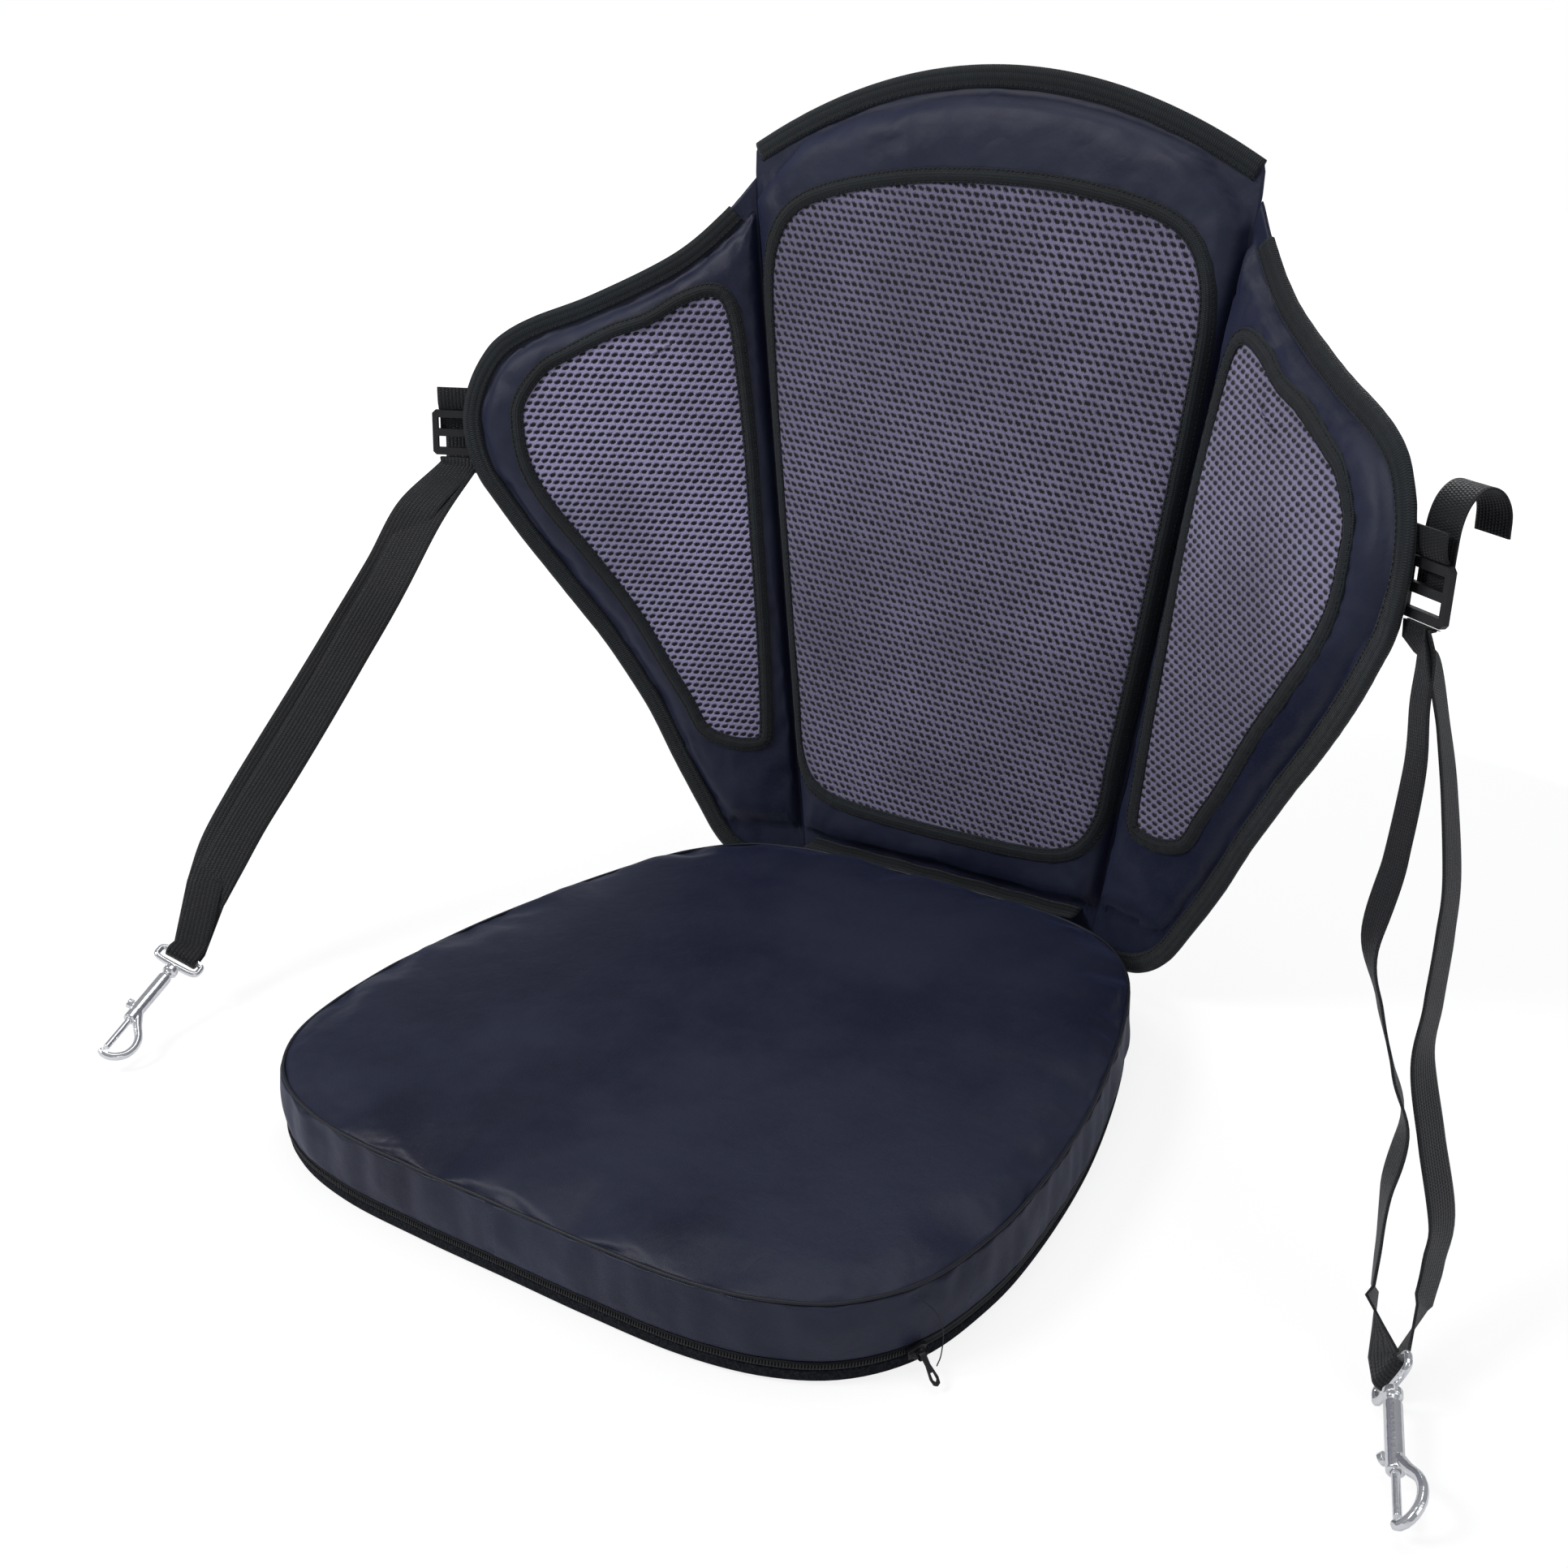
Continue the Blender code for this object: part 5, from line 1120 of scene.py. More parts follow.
def build_rear_cover(p):
    """Rear cover of one panel, one nylon sheet over the foam."""
    shares = [1.0, 0.985, 0.97, 0.95, 0.925, 0.90, 0.87, 0.84, 0.81, 0.78, 0.75]
    rows, uv, held = [], [], []
    for f in shares:
        pts = p.ring(p.edge * f)
        h = p.rear_height(pts)
        spread = 1 - math.exp(-(1 - f) / 0.03)
        lift = wave_noise(np.column_stack([pts, np.zeros(p.count)]), 22, 12.0 + len(p.tag))
        rows.append(back_points(pts[:, 0], pts[:, 1], h + 0.0012 * lift * spread + 0.0002))
        uv.append(pts)
        held.append(np.full(p.count, 1.0 if f > 0.99 else 0.0))
    inner, more = fill_ring(uv[-1], (len(shares) - 1) * p.count, len(shares) * p.count, flip=True)
    lift = 0.0012 * wave_noise(np.column_stack([inner, np.zeros(len(inner))]), 22, 12.0 + len(p.tag))
    verts = np.vstack(rows + [back_points(inner[:, 0], inner[:, 1], p.rear_height(inner) + lift + 0.0002)])
    faces = grid(len(shares), p.count, flip=True) + more
    ob = make_mesh(f"rear_cover_{p.tag}", verts, faces, finish("nylon_rear"), np.vstack(uv + [inner]))
    settle(ob, np.concatenate(held + [np.zeros(len(inner))]), 1.5, 0.015, 0.0025)
    thicken(ob, 0.0008)
    return outward(ob)


def binding_path(tag):
    """Path of the bound edge in cloth coordinates, and its outward normals."""
    if tag == "top":
        path = np.array([(x, arc_s(x)) for x in np.linspace(TOP_HALF - 0.0006, -TOP_HALF + 0.0006, 150)])
        toward = np.array([0.0, 1.0])
    elif tag == "bottom":
        half = groove_x(-BACK_TAIL) - 0.0008
        path = np.array([(x, -BACK_TAIL) for x in np.linspace(-half, half, 120)])
        toward = np.array([0.0, -1.0])
    else:
        rim = wing_rim(tag, 330)
        path = rim[12:-12]
        toward = np.array([1.0 if tag == "left" else -1.0, 0.0])
    d = np.gradient(path, axis=0)
    across = unit(np.stack([d[:, 1], -d[:, 0]], 1))
    if across[len(across) // 2] @ toward < 0:
        across = -across
    return path, across


def build_binding(tag):
    """Ribbed tape folded over a sewn edge."""
    path, across = binding_path(tag)
    hi = GAP / 2 + SHEET + 0.0004
    full = hi + BIND_THICK
    profile = [(-BIND_IN, hi + 0.0001), (-BIND_IN + 0.0003, full - 0.0002), (-BIND_IN + 0.0018, full),
               (-0.0066, full + 0.0004), (-0.0035, full + 0.0006), (-0.0010, full + 0.0003),
               (0.0006, full - 0.0005), (BIND_OUT - 0.0002, 0.0010), (BIND_OUT, 0.0),
               (BIND_OUT - 0.0002, -0.0010), (0.0006, -full + 0.0005), (-0.0035, -full - 0.0003),
               (-BIND_IN + 0.0018, -full), (-BIND_IN, -full + 0.0003), (-BIND_IN, -hi)]
    n = len(path)
    run = np.concatenate([[0], np.cumsum(np.linalg.norm(np.diff(path, axis=0), axis=1))])
    wander = wave_noise(np.column_stack([path, np.zeros(n)]), 60, 21.0)
    swell = 0.00025 * wave_noise(np.column_stack([path, np.ones(n)]), 170, 3.0)
    rows, uv, girth = [], [], 0.0
    for k, (off, h) in enumerate(profile):
        if k:
            girth += math.dist(profile[k], profile[k - 1])
        edge_in = 0.0005 * wander if off < -0.009 else 0.0 * wander
        at = path + across * (off + edge_in)[:, None]
        rows.append(back_points(at[:, 0], at[:, 1], h + math.copysign(1, h) * swell))
        uv.append(np.column_stack([run, np.full(n, girth)]))
    ob = make_mesh(f"edge_binding_{tag}", np.vstack(rows), grid(len(profile), n, round_cols=False),
                   finish("binding"), np.vstack(uv))
    return outward(close_rows(ob, len(profile), n, False))


# Repeats made by geometry nodes
def repeat_tree(name, shape, material, level):
    """Copies of a shape along a path: resampled by its pitch, turned along it and made real."""
    tree = bpy.data.node_groups.new(name, "GeometryNodeTree")
    tree.interface.new_socket("Geometry", in_out="INPUT", socket_type="NodeSocketGeometry")
    tree.interface.new_socket("Pitch", in_out="INPUT", socket_type="NodeSocketFloat")
    tree.interface.new_socket("Geometry", in_out="OUTPUT", socket_type="NodeSocketGeometry")
    node = tree.nodes.new
    link = tree.links.new
    source, sink = node("NodeGroupInput"), node("NodeGroupOutput")
    curve = node("GeometryNodeMeshToCurve")
    link(source.outputs["Geometry"], curve.inputs[0])
    resample = node("GeometryNodeResampleCurve")
    resample.mode = "LENGTH"
    link(curve.outputs[0], resample.inputs["Curve"])
    link(source.outputs["Pitch"], resample.inputs["Length"])
    tangent = node("GeometryNodeInputTangent")
    align = node("FunctionNodeAlignRotationToVector")
    align.axis = "X"
    align.pivot_axis = "Z" if level else "AUTO"
    link(tangent.outputs[0], align.inputs["Vector"])
    points = node("GeometryNodeCurveToPoints")
    points.mode = "EVALUATED"
    link(resample.outputs[0], points.inputs[0])
    store = node("GeometryNodeInstanceOnPoints")
    item = node("GeometryNodeObjectInfo")
    item.inputs["Object"].default_value = shape
    keep = node("GeometryNodeCaptureAttribute")
    keep.capture_items.new("ROTATION", "Turn")
    link(resample.outputs[0], keep.inputs[0])
    link(align.outputs[0], keep.inputs["Turn"])
    link(keep.outputs[0], points.inputs[0])
    link(points.outputs[0], store.inputs["Points"])
    link(item.outputs["Geometry"], store.inputs["Instance"])
    link(keep.outputs["Turn"], store.inputs["Rotation"])
    real = node("GeometryNodeRealizeInstances")
    link(store.outputs[0], real.inputs[0])
    paint = node("GeometryNodeSetMaterial")
    paint.inputs["Material"].default_value = material
    link(real.outputs[0], paint.inputs["Geometry"])
    link(paint.outputs[0], sink.inputs[0])
    return tree


def repeat_along(name, paths, shape, material, pitch, level=False):
    """One plain mesh with a copy of shape every pitch along each path."""
    verts, edges = [], []
    for path in paths:
        start = len(verts)
        verts += [tuple(map(float, v)) for v in path]
        edges += [(start + i, start + i + 1) for i in range(len(path) - 1)]
    mesh = bpy.data.meshes.new(name)
    mesh.from_pydata(verts, edges, [])
    ob = bpy.data.objects.new(name, mesh)
    bpy.context.scene.collection.objects.link(ob)
    tree = repeat_tree(name + "_tree", shape, material, level)
    mod = ob.modifiers.new("repeat", "NODES")
    mod.node_group = tree
    pitch_socket = [s for s in tree.interface.items_tree if s.name == "Pitch"][0]
    mod[pitch_socket.identifier] = pitch
    bake(ob)
    if ob.data.polygons:
        ob.data.shade_smooth()
    return ob


def stitch_shape():
    """One stitch: a short thread that dips at both ends."""
    r, length = fitting_settings().thread / 2, fitting_settings().stitch * 0.74
    verts, faces = [], []
    stations = [(-0.5, 0.35, -1.2), (-0.36, 0.9, 0.1), (0.0, 1.0, 0.5), (0.36, 0.9, 0.1), (0.5, 0.35, -1.2)]
    for x, fat, lift in stations:
        for k in range(6):
            a = math.pi * k / 3
            verts.append((x * length, r * fat * math.cos(a), r * (fat * math.sin(a) + lift)))
    faces = grid(len(stations), 6)
    faces += [tuple(range(6))[::-1], tuple(range(24, 30))]
    ob = make_mesh("stitch_shape", verts, faces, finish("thread"))
    return hidden(outward(ob))


def tooth_shape():
    """One loop of a coil zip, seen from outside: a rounded bar across the chain."""
    verts, faces = [], []
    half = 0.0014
    stations = [(-1.0, 0.25), (-0.86, 0.8), (-0.4, 1.0), (0.0, 0.82), (0.4, 1.0), (0.86, 0.8), (1.0, 0.25)]
    for z, fat in stations:
        for k in range(6):
            a = math.pi * k / 3
            verts.append((0.00042 * fat * math.cos(a) + 0.00018 * z, 0.00050 * fat * math.sin(a), half * z))
    faces = grid(len(stations), 6)
    faces += [tuple(range(6))[::-1], tuple(range(36, 42))]
    ob = make_mesh("tooth_shape", verts, faces, finish("coil"))
    return hidden(outward(ob))


def hidden(ob):
    ob.hide_render = True
    ob.hide_viewport = False
    return ob


def drop(ob):
    mesh = ob.data
    bpy.data.objects.remove(ob)
    bpy.data.meshes.remove(mesh)


# Straps
STRAP_RUNS = {
    "left": [
        [(0.2966, 0.1003, 0.2716), (0.2985, 0.0950, 0.2505), (0.3040, 0.0800, 0.2250),
         (0.3074, 0.0554, 0.1919), (0.3083, 0.0310, 0.1610), (0.3188, 0.0191, 0.1380),
         (0.3300, 0.0100, 0.1160), (0.3405, -0.0005, 0.0964), (0.3420, -0.0180, 0.0725),
         (0.3455, -0.0322, 0.0531), (0.3480, -0.0420, 0.0380)],
        [(0.2992, 0.1012, 0.2716), (0.3101, 0.0964, 0.2402), (0.3200, 0.0830, 0.2150),
         (0.3305, 0.0642, 0.1841), (0.3347, 0.0498, 0.1630), (0.3380, 0.0324, 0.1389),
         (0.3410, 0.0170, 0.1180), (0.3522, 0.0031, 0.0913), (0.3640, -0.0100, 0.0640),
         (0.3665, -0.0230, 0.0490), (0.3675, -0.0360, 0.0350)]],
    "right": [
        [(-0.3108, 0.0995, 0.2528), (-0.3060, 0.0600, 0.2200),
         (-0.3120, 0.0300, 0.1850), (-0.3180, 0.0020, 0.1520), (-0.3240, -0.0240, 0.1220),
         (-0.3290, -0.0480, 0.0960), (-0.3310, -0.0680, 0.0740), (-0.3300, -0.0850, 0.0560)],
        [(-0.3160, 0.0990, 0.2570), (-0.3160, 0.0680, 0.2260),
         (-0.3230, 0.0360, 0.1890), (-0.3280, 0.0050, 0.1560), (-0.3330, -0.0210, 0.1280),
         (-0.3370, -0.0430, 0.1040), (-0.3380, -0.0630, 0.0830), (-0.3350, -0.0800, 0.0650)]],
}
# lower end of the lock that the runs' points were chosen for
STRAP_TOP = {"left": (0.2918, 0.1051, 0.2856), "right": (-0.3152, 0.1397, 0.2837)}
STRAP_FACE = {
    "left": [[(-0.55, 0.80, 0.0), (-0.45, 0.85, 0.1), (-0.20, 0.90, 0.1)],
             [(-0.20, 0.95, 0.0), (0.05, 0.95, 0.0), (0.10, 0.90, 0.1)]],
    "right": [[(0.80, 0.60, 0.0), (0.84, 0.54, 0.0), (0.84, 0.50, -0.1)],
              [(0.75, 0.65, 0.0), (0.70, 0.68, 0.0), (0.80, 0.50, -0.1)]],
}
WEB_WIDTH, WEB_THICK, WEB_EYE_WIDTH, WEB_SLACK = 0.025, 0.0014, 0.0190, 0.0010
LOCK_S, LOCK_OUT, LOCK_BACK = 0.272, 0.0045, 0.0025
ANCHOR_SEAT, ANCHOR_RISE, ANCHOR_DROP = 0.0007, 0.0045, 0.0095
# free end of the webbing: rise above the lock's top, distance behind its first part
TAIL_CURL = {
    "left": [(0.004, 0.0), (0.018, 0.0008), (0.028, 0.0045), (0.0335, 0.0115), (0.0315, 0.0195),
             (0.023, 0.0250), (0.011, 0.0262)],
    "right": [(0.002, 0.0), (0.007, 0.0015), (0.009, 0.0060), (0.006, 0.0105), (-0.006, 0.0130),
              (-0.024, 0.0135), (-0.042, 0.0125)],
}
ADJ_HEIGHT, ADJ_THICK = 0.0280, 0.0034
HOOKS = {
    "left": ((0.3632, -0.0570, 0.0168), (0.3891, -0.1356, 0.0085), math.radians(48), math.radians(68)),
    "right": ((-0.3223, -0.1101, 0.0349), (-0.3025, -0.1885, 0.0120), math.radians(-24), math.radians(-28)),
}
EYE_WIRE = 0.0036


def hook_axes(tag):
    """Origin at the eye's outer end and the axes along, across and normal to the hook."""
    eye, tip, roll, eye_roll = HOOKS[tag]
    o = Vector(eye)
    p = (Vector(tip) - o).normalized()
    level = p.cross(Vector((0, 0, 1))).normalized()
    if level.x < 0:
        level = -level
    rise = level.cross(p).normalized()
    if rise.z < 0:
        rise = -rise

    def axes(angle):
        q = level * math.cos(angle) + rise * math.sin(angle)
        return q, p.cross(q).normalized()
    return o, p, axes(roll), axes(eye_roll)


def web_sweep(name, centre, across, width, thick=WEB_THICK):
    """Webbing with rounded, slightly thicker edges, swept along its centreline."""
    n = len(centre)
    along = unit(np.gradient(centre, axis=0))
    across = unit(across - along * np.sum(across * along, axis=1)[:, None])
    up = np.cross(along, across)
    run = np.concatenate([[0], np.cumsum(np.linalg.norm(np.diff(centre, axis=0), axis=1))])
    half = thick / 2
    shape = [(-0.5, 0.0), (-0.485, 0.75), (-0.45, 1.0), (-0.25, 0.86), (0.0, 0.9), (0.25, 0.86), (0.45, 1.0),
             (0.485, 0.75), (0.5, 0.0), (0.485, -0.75), (0.45, -1.0), (0.25, -0.86), (0.0, -0.9),
             (-0.25, -0.86), (-0.45, -1.0), (-0.485, -0.75)]
    rows, uv = [], []
    for u, v in shape:
        rows.append(centre + across * (u * width)[:, None] + up * (v * half))
        uv.append(np.column_stack([run, u * width]))
    ob = make_mesh(name, np.vstack(rows), grid(len(shape), n, round_cols=False), finish("web"), np.vstack(uv))
    return outward(close_rows(ob, len(shape), n, False))


def lock_place(tag):
    """Axes and corners of the ladder lock at the wing's edge."""
    side = 1 if tag == "left" else -1
    turn = float(wing_turn(LOCK_S, side))
    across = np.array([side, 0, 0]) * math.cos(turn) + FRONT * math.sin(turn)
    normal = FRONT * math.cos(turn) - np.array([side, 0, 0]) * math.sin(turn)
    w_edge = groove_x(LOCK_S) + WING_SPAN + LOCK_OUT
    h = -(GAP / 2 + SHEET + 2 * GAP + BIND_THICK + ANCHOR_SEAT + WEB_THICK / 2)
    root = back_points(np.array([side * w_edge]), np.array([LOCK_S]), np.array([h]))[0]
    low_end = root - UP_S * ANCHOR_DROP - normal * LOCK_BACK
    return across, normal, root, low_end, low_end - UP_S * (GAP + 0.0002)


def strap_rows(tag):
    """Centreline, width direction and width of the webbing, lock to eye and back."""
    across_l, normal_l, _, _, top = lock_place(tag)
    low = top - UP_S * ADJ_HEIGHT
    o, p, _, (eq, er) = hook_axes(tag)
    o, p, eq, er = (np.array(v) for v in (o, p, eq, er))
    wire = EYE_WIRE / 2
    bar = o + p * wire
    turn_r = wire + WEB_SLACK + WEB_THICK / 2
    step = WEB_THICK / 2 + GAP
    shift = low - np.array(STRAP_TOP[tag])
    run_a, run_b = (np.array(r) + shift * np.linspace(1, 0, len(r))[:, None] for r in STRAP_RUNS[tag])
    lead_a = np.array([low + normal_l * step - UP_S * d for d in (5 * GAP, 0.006)])
    lead_b = np.array([low - normal_l * step - UP_S * d for d in (5 * GAP, 0.006)])
    run_a, run_b = np.vstack([lead_a, run_a]), np.vstack([lead_b, run_b])
    front = er if er @ (run_a[-1] - bar) > er @ (run_b[-1] - bar) else -er
    bend = [bar + front * turn_r - p * 0.007]
    bend += [bar + front * (turn_r * math.cos(t)) + p * (turn_r * math.sin(t))
             for t in np.linspace(0, math.pi, 13)]
    bend += [bar - front * turn_r - p * 0.007]

    def faces_of(n, keys):
        keys = [np.array(k) for k in keys]
        out = []
        for i in range(n):
            f = 2 * i / (n - 1)
            out.append(keys[0] * (1 - f) + keys[1] * f if f < 1 else keys[1] * (2 - f) + keys[2] * (f - 1))
        return np.array(out)
    face_a, face_b = faces_of(len(run_a), STRAP_FACE[tag][0]), faces_of(len(run_b), STRAP_FACE[tag][1])
    flat = across_l if across_l @ face_a[0] > 0 else -across_l
    face_a[:2] = face_b[:2] = flat
    fall = unit(run_a[-1] - run_a[-2])
    last = face_a[-1] - fall * (face_a[-1] @ fall)
    eye = eq if eq @ last > 0 else -eq
    keys = np.vstack([run_a, bend, run_b[::-1]])
    across = np.vstack([face_a, np.tile(eye, (len(bend), 1)), face_b[::-1]])
    width = np.full(len(keys), WEB_WIDTH)
    width[len(run_a):len(run_a) + len(bend)] = WEB_EYE_WIDTH
    width[len(run_a) - 1] = width[len(run_a) + len(bend)] = (WEB_WIDTH + WEB_EYE_WIDTH) / 2
    rows = np.column_stack([keys, across, width])
    a = smooth(rows[1:len(run_a)], 90)
    b = smooth(rows[len(run_a) + len(bend):-1], 90)
    return np.vstack([rows[:1], a, rows[len(run_a):len(run_a) + len(bend)], b, rows[-1:]])


def build_strap(tag):
    rows = strap_rows(tag)
    centre, across, width = rows[:, :3], rows[:, 3:6], rows[:, 6]
    ob = web_sweep(f"webbing_{tag}", centre, across, width)
    return ob


def build_tail(tag):
    """Free end of the webbing, up behind the lock and over backward."""
    across, normal, _, _, top = lock_place(tag)
    behind = ADJ_THICK / 2 + GAP + WEB_THICK / 2 + 0.0004
    mid = top - UP_S * (ADJ_HEIGHT / 2)
    h = ADJ_HEIGHT / 2
    keys = [(0.0, 0.0)] + [(h + rise, back) for rise, back in TAIL_CURL[tag]]
    path = smooth(np.array([mid + UP_S * u - normal * (behind + n) for u, n in keys]), 60)
    return web_sweep(f"webbing_end_{tag}", path, np.tile(across, (60, 1)), np.full(60, WEB_WIDTH))


def build_anchor(tag):
    """Patch of webbing sewn behind the wing's bound edge, down to the lock's top bar."""
    across, normal, root, low_end, _ = lock_place(tag)
    bends = [root + UP_S * ANCHOR_RISE, root, root - UP_S * 0.005 - normal * 0.0006, low_end]
    path = smooth(np.array(bends), 24)
    return web_sweep(f"webbing_anchor_{tag}", path, np.tile(across, (24, 1)), np.full(24, WEB_WIDTH))


# Hooks
def refine_cad(name, node, voxel, rounds, material="metal"):
    """A copy of a CAD node's mesh, merged, remeshed fine and eased like a die casting."""
    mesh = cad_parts[node].data.copy()
    bm = bmesh.new()
    bm.from_mesh(mesh)
    bmesh.ops.remove_doubles(bm, verts=bm.verts, dist=1e-6)
    bm.to_mesh(mesh)
    bm.free()
    ob = bpy.data.objects.new(name, mesh)
    bpy.context.scene.collection.objects.link(ob)
    grain = ob.modifiers.new("voxels", "REMESH")
    grain.mode = "VOXEL"
    grain.voxel_size = voxel
    ease = ob.modifiers.new("ease", "SMOOTH")
    ease.factor = 0.5
    ease.iterations = rounds
    bake(ob)
    ob.data.materials.clear()
    ob.data.materials.append(finish(material))
    ob.data.shade_smooth()
    return ob


# Operators
def carry(ob, body, slot_name, *nodes):
    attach(ob, body)
    if nodes:
        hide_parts(*nodes)
    return ob


class SEAT_OT_cushion(bpy.types.Operator):
    """Make the cushion's cover and its rough base panel"""
    bl_idname = "kayak_seat.cushion"
    bl_label = "Cushion"

    def execute(self, context):
        cover = build_cushion()
        carry(cover, "seat", "nylon", "seat_top_panel", "seat_side_band", "seat_foam")
        carry(build_seam_line(), "seat", "nylon")
        carry(build_base_panel(), "seat", "base", "seat_base_panel")
        strip = build_hinge_cloth()
        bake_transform(strip)
        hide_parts("hinge_cloth")
        return {"FINISHED"}


class SEAT_OT_zip(bpy.types.Operator):
    """Make the zip's tape and coil, and finish its slider and pull"""
    bl_idname = "kayak_seat.zip"
    bl_label = "Zip"

    def execute(self, context):
        count = 420
        loop = seat_outline(count)
        out = loop_normals(loop)
        run = np.concatenate([[0], np.cumsum(np.linalg.norm(np.diff(loop, axis=0), axis=1))])
        rows, uv = [], []
        for off, z in ((-0.0012, ZIP_LOW + 0.0001), (0.0002, ZIP_LOW + 0.0001), (0.0003, ZIP_LOW + 0.0008),
                       (0.0002, ZIP_LOW + 0.0018), (0.0000, (ZIP_LOW + ZIP_HIGH) / 2),
                       (0.0002, ZIP_HIGH - 0.0018), (0.0003, ZIP_HIGH - 0.0008), (0.0002, ZIP_HIGH - 0.0001),
                       (-0.0012, ZIP_HIGH - 0.0001)):
            rows.append(np.column_stack([loop + out * off, np.full(count, z)]))
            uv.append(np.column_stack([run, np.full(count, z)]))
        tape = make_mesh("zip_band", np.vstack(rows), grid(len(rows), count), finish("zip_tape"),
                         np.vstack(uv))
        close_rows(tape, len(rows), count, True)
        carry(outward(tape), "seat", "tape", "zip_tape")
        ang = np.arctan2(loop[:, 1], loop[:, 0]) % (2 * math.pi)
        first, last = ZIP_START, ZIP_END % (2 * math.pi)
        keep = (ang > first) & (ang < last)
        order = np.argsort(ang[keep])
        path = (loop + out * 0.0007)[keep][order]
        path = np.column_stack([path, np.full(len(path), (ZIP_LOW + ZIP_HIGH) / 2)])
        shape = tooth_shape()
        teeth = repeat_along("zip_teeth", [path], shape, finish("coil"), fitting_settings().tooth_pitch, True)
        drop(shape)
        carry(teeth, "seat", "plastic", "zip_chain")
        carry(build_loose_thread(), "seat", "tape")
        for node, name in (("zip_slider", "slider"), ("zip_pull", "pull_tab")):
            piece = refine_cad(name, node, 0.00016, 4, "black_metal")
            carry(piece, "seat" if node == "zip_slider" else "zip_pull", "metal", node)
        return {"FINISHED"}


def build_loose_thread():
    """The thin thread that hangs from the top seam past the slider."""
    low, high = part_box("zip_slider")
    place = (low + high) / 2
    out = Vector((place.x, place.y, 0)).normalized()
    side = Vector((-out.y, out.x, 0))
    bends = [(0.0005, -0.003, 0.0405), (0.0042, 0.001, 0.0385), (0.0062, 0.006, 0.032),
             (0.0058, 0.0085, 0.022), (0.0066, 0.0075, 0.012), (0.0060, 0.006, 0.006)]
    path = smooth([tuple(Vector((place.x, place.y, 0)) + out * a + side * b + Vector((0, 0, z)))
                   for a, b, z in bends], 60)
    cols = 8
    rows = []
    for i, p in enumerate(path):
        along = Vector(path[min(i + 1, len(path) - 1)] - path[max(i - 1, 0)]).normalized()
        a = along.cross(out).normalized()
        b = along.cross(a)
        rows.append([Vector(p) + LOOSE_THREAD_RADIUS * (a * math.cos(2 * math.pi * j / cols)
                                                        + b * math.sin(2 * math.pi * j / cols))
                     for j in range(cols)])
    ob = make_mesh("loose_thread", np.vstack([np.array(r) for r in rows]), grid(len(rows), cols),
                   finish("thread"))
    bm = bmesh.new()
    bm.from_mesh(ob.data)
    bmesh.ops.holes_fill(bm, edges=[e for e in bm.edges if e.is_boundary], sides=0)
    bm.to_mesh(ob.data)
    bm.free()
    return outward(ob)


class SEAT_OT_back(bpy.types.Operator):
    """Make the back's three padded panels with their mesh windows and trim"""
    bl_idname = "kayak_seat.back"
    bl_label = "Back panels"

    def execute(self, context):
        for tag in ("centre", "left", "right"):
            rings = PanelRings(tag)
            front = build_front_cover(rings)
            carry(front, "back", "nylon", f"back_front_{tag}", f"back_foam_{tag}")
            carry(build_mesh_panel(rings), "back", "mesh", f"back_mesh_{tag}")
            carry(build_trim(rings), "back", "tape", f"back_trim_{tag}")
            rear = build_rear_cover(rings)
            carry(rear, "back", "nylon", f"back_rear_{tag}")
        return {"FINISHED"}


class SEAT_OT_binding(bpy.types.Operator):
    """Make the tape folded over the back's outer edges"""
    bl_idname = "kayak_seat.binding"
    bl_label = "Binding"

    def execute(self, context):
        for tag in ("left", "right", "top", "bottom"):
            carry(build_binding(tag), "back", "tape", f"binding_{tag}")
        return {"FINISHED"}


class SEAT_OT_stitches(bpy.types.Operator):
    """Sew the trim and binding down with rows of stitches"""
    bl_idname = "kayak_seat.stitches"
    bl_label = "Stitches"

    def execute(self, context):
        paths = []
        for tag in ("centre", "left", "right"):
            rings = PanelRings(tag)
            pts = rings.ring(rings.window)
            across = loop_normals(pts)
            for share in (-0.39, 0.39):
                at = pts + across * (share * 2 * TRIM_HALF)
                at = np.vstack([at, at[:1]])
                paths.append(back_points(at[:, 0], at[:, 1], rings.front_height(at) + 0.0012))
        for tag in ("left", "right", "top"):
            path, across = binding_path(tag)
            lift = GAP / 2 + SHEET + 0.0004 + BIND_THICK + 0.0002
            at = path - across * (BIND_IN - 0.0016)
            paths.append(back_points(at[:, 0], at[:, 1], np.full(len(at), lift)))
            paths.append(back_points(at[:, 0], at[:, 1], np.full(len(at), -lift)))
        shape = stitch_shape()
        rows = repeat_along("stitching", paths, shape, finish("thread"), fitting_settings().stitch)
        drop(shape)
        carry(rows, "back", "tape")
        return {"FINISHED"}


class SEAT_OT_straps(bpy.types.Operator):
    """Make the webbing, its free ends and the patches that hold the ladder locks"""
    bl_idname = "kayak_seat.straps"
    bl_label = "Straps"

    def execute(self, context):
        for tag in ("left", "right"):
            strap = build_strap(tag)
            low = np.array(hook_axes(tag)[0])
            _, _, _, _, top = lock_place(tag)
            top = top - UP_S * ADJ_HEIGHT
            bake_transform(strap)
            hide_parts(f"strap_{tag}")
            carry(build_tail(tag), "back", "web", f"strap_tail_{tag}")
            carry(build_anchor(tag), "back", "web", f"strap_anchor_{tag}")
            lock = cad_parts[f"strap_lock_{tag}"]
            lock.data.materials.clear()
            lock.data.materials.append(finish("plastic"))
        return {"FINISHED"}


